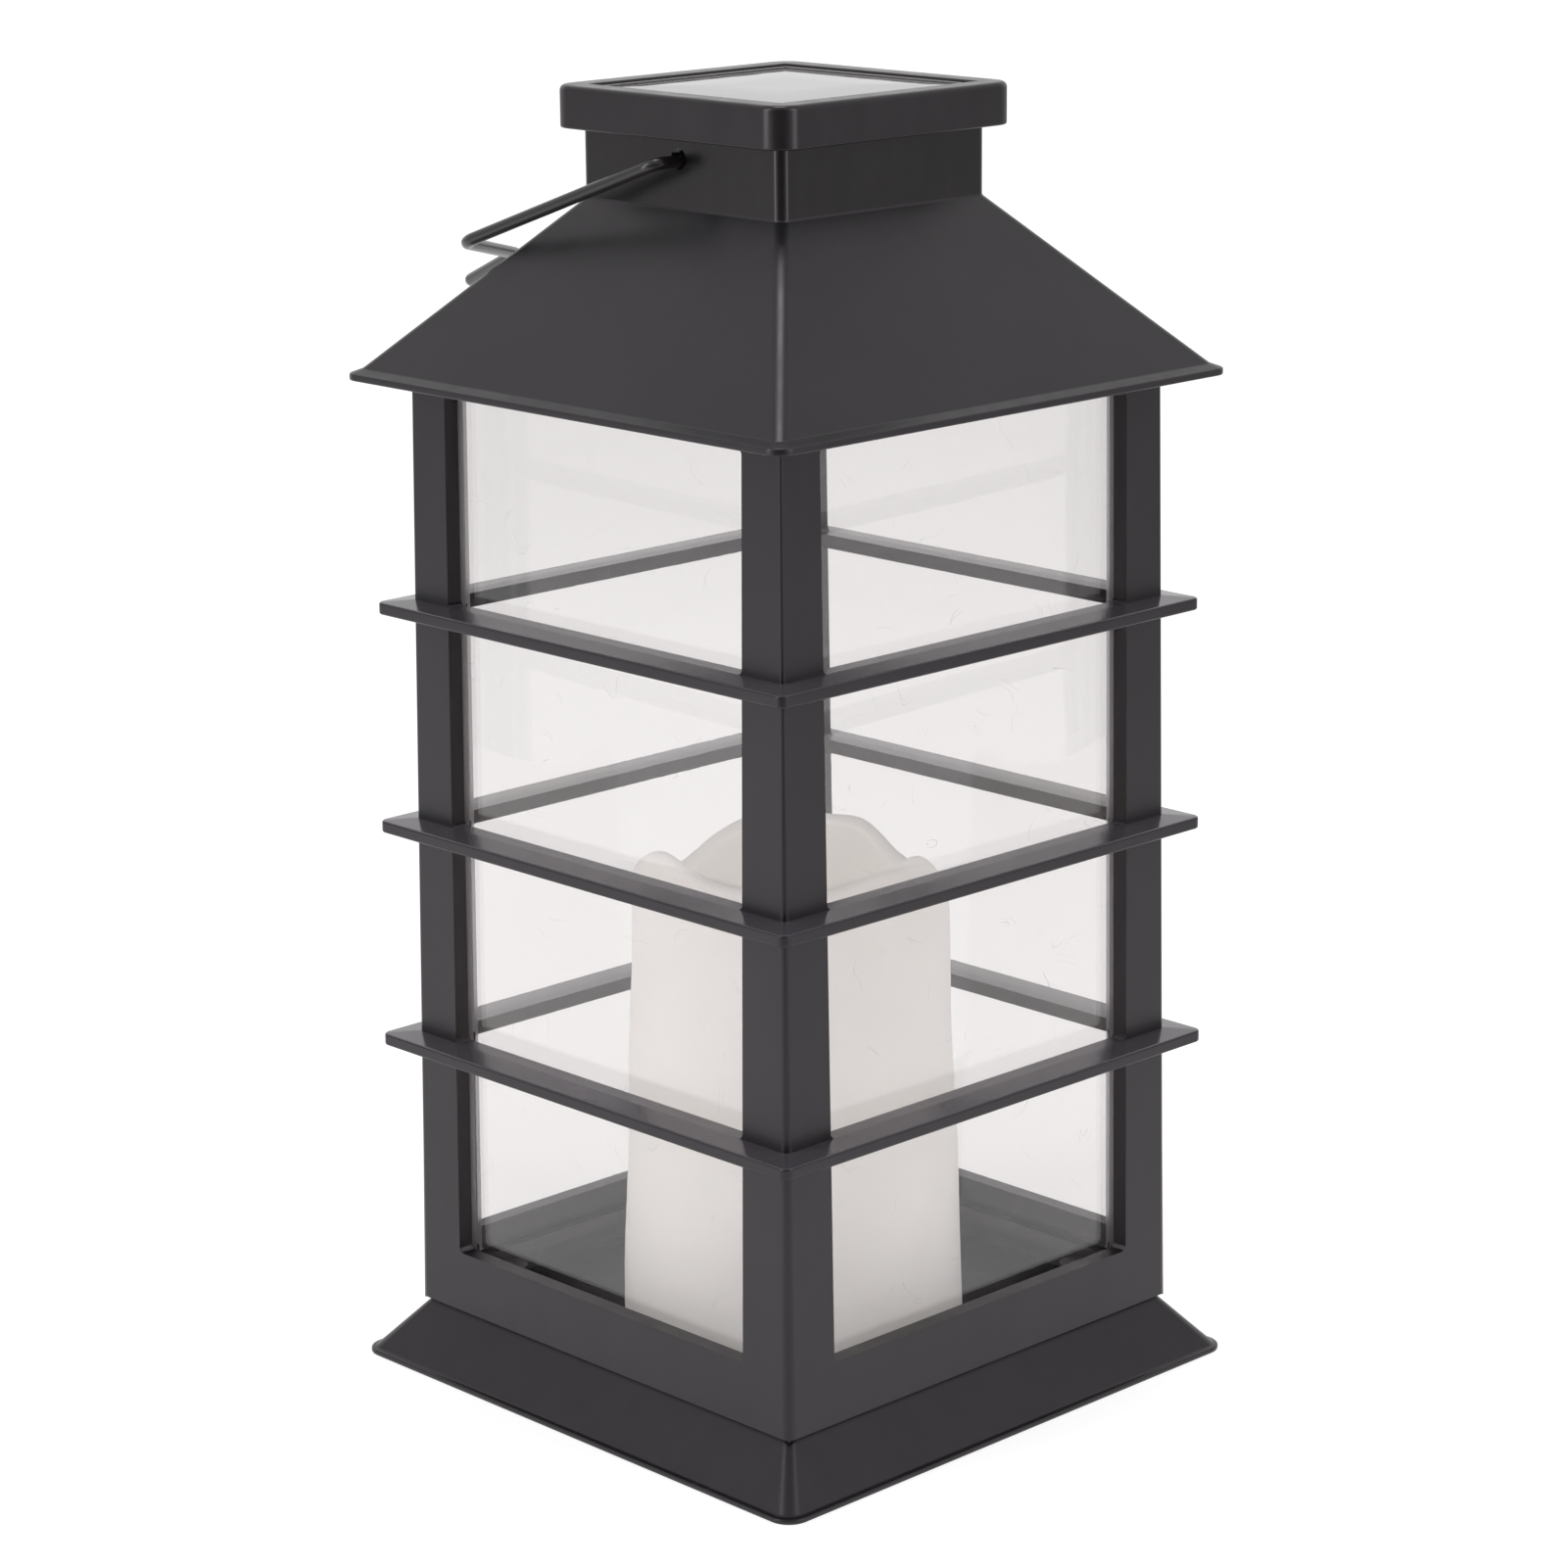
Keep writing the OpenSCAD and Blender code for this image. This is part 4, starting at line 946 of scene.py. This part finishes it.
def make_floor():
    """Light table: evenly white to the camera, dimmer to both sides for the reflections, and
    clear from below, so that the underside can be looked at."""
    size, z = 20000, -0.05
    floor = make_object("floor", [(-size, -size, z), (size, -size, z), (size, size, z),
                                  (-size, size, z)], [(0, 1, 2, 3)])
    material, tree, place = new_material("pale_light_table")
    aside = add_node(tree, "ShaderNodeVectorMath", {0: place, 1: VIEW_RIGHT},
                     operation="DOT_PRODUCT").outputs["Value"]
    level = None
    for near, far, near_level, far_level in ((-1.1, -0.5, 0.5, 1.4), (-0.09, -0.05, 1.4, 1.0),
                                             (0.1, 1.0, 1.0, 0.3)):
        step = add_node(tree, "ShaderNodeMapRange",
                        {"Value": aside, "From Min": near, "From Max": far,
                         "To Min": near_level, "To Max": far_level}).outputs["Result"]
        level = step if level is None else add_node(
            tree, "ShaderNodeMath", {0: level, 1: step}, operation="MINIMUM").outputs[0]
    glow = brighter_to_camera(tree, level, 0.75)
    shader = add_node(tree, "ShaderNodeBsdfPrincipled",
                      {"Base Color": colour("#a8a8a8"), "Roughness": 0.8, "IOR": 1.2,
                       "Emission Color": colour("#ffffff"), "Emission Strength": glow})
    below = add_node(tree, "ShaderNodeNewGeometry").outputs["Backfacing"]
    table = add_node(tree, "ShaderNodeMixShader", {
        0: below, 1: shader.outputs[0],
        2: add_node(tree, "ShaderNodeBsdfTransparent").outputs[0]})
    add_node(tree, "ShaderNodeOutputMaterial", {"Surface": table.outputs[0]})
    floor.data.materials.append(material)


def add_softbox(name, place, width, height, power):
    """Soft rectangular lamp that faces the middle of the lantern."""
    lamp = bpy.data.lights.new(name, "AREA")
    lamp.shape = "RECTANGLE"
    lamp.size = width
    lamp.size_y = height
    lamp.energy = power
    obj = bpy.data.objects.new(name, lamp)
    bpy.context.scene.collection.objects.link(obj)
    obj.location = place
    obj.rotation_euler = (LANTERN_MIDDLE - obj.location).to_track_quat("-Z", "Y").to_euler()


def make_flag():
    """Grey screen round the camera, seen only in the reflections on glossy corners."""
    far, half, top = 550, 330, 600
    feet = [side * Vector(VIEW_RIGHT) - far * Vector(VIEW_BACK) for side in (-half, half)]
    flag = make_object("dark_flag", feet + [p + Vector((0, 0, top)) for p in reversed(feet)],
                       [(0, 1, 2, 3)])
    material, tree, _ = new_material("grey_felt")
    felt = add_node(tree, "ShaderNodeBsdfDiffuse", {"Color": colour("#707070")})
    add_node(tree, "ShaderNodeOutputMaterial", {"Surface": felt.outputs[0]})
    flag.data.materials.append(material)
    flag.visible_camera = False
    flag.visible_diffuse = False
    flag.visible_transmission = False
    flag.visible_shadow = False


def light_studio():
    """White surroundings, brighter behind the lantern, with two tall softboxes at the camera's
    sides and a small one overhead."""
    world = bpy.data.worlds.new("studio")
    bpy.context.scene.world = world
    world.use_nodes = True
    tree = world.node_tree
    way = add_node(tree, "ShaderNodeTexCoord").outputs["Generated"]
    behind = add_node(tree, "ShaderNodeVectorMath", {0: way, 1: VIEW_BACK},
                      operation="DOT_PRODUCT").outputs["Value"]
    level = add_node(tree, "ShaderNodeMapRange",
                     {"Value": behind, "From Min": 0.0, "From Max": 0.8,
                      "To Min": 0.6, "To Max": 1.0}).outputs["Result"]
    background = tree.nodes["Background"]
    background.inputs["Color"].default_value = colour("#ffffff")
    tree.links.new(brighter_to_camera(tree, level, 1.0), background.inputs["Strength"])
    add_softbox("left_softbox", (-0.22, -0.87, 0.55), 0.3, 1.1, 4)
    add_softbox("right_softbox", (0.87, 0.25, 0.55), 0.3, 1.1, 3)
    add_softbox("top_softbox", (-0.12, 0.09, 1.4), 0.4, 0.4, 3)


def place_camera():
    """The camera: its place, where it looks and a slight roll, from a fit to the object's edges."""
    camera_data = bpy.data.cameras.new("camera")
    camera = bpy.data.objects.new("camera", camera_data)
    bpy.context.scene.collection.objects.link(camera)
    place = Vector((655.343, -636.382, 371.856)) * MM
    forward = Vector((-0.69435, 0.67261, -0.25586)).normalized()
    right = Vector((0.69741, 0.71662, -0.00877)).normalized()
    up = right.cross(forward).normalized()
    right = forward.cross(up)
    turn = Matrix((right, up, -forward)).transposed()
    camera.matrix_world = Matrix.Translation(place) @ turn.to_4x4()
    camera_data.sensor_width = 36
    camera_data.lens = 100.80
    camera_data.clip_start = 0.01
    bpy.context.scene.camera = camera


bpy.context.scene.view_settings.view_transform = "Standard"
place_camera()
light_studio()
make_floor()
make_flag()
make_base()
make_cage()
for quarter, side in enumerate(("front", "right", "back", "left")):
    make_pane(side, quarter)
make_roof()
make_cap()
make_resin()
make_candle()
make_handle()
dress_packed_pieces()
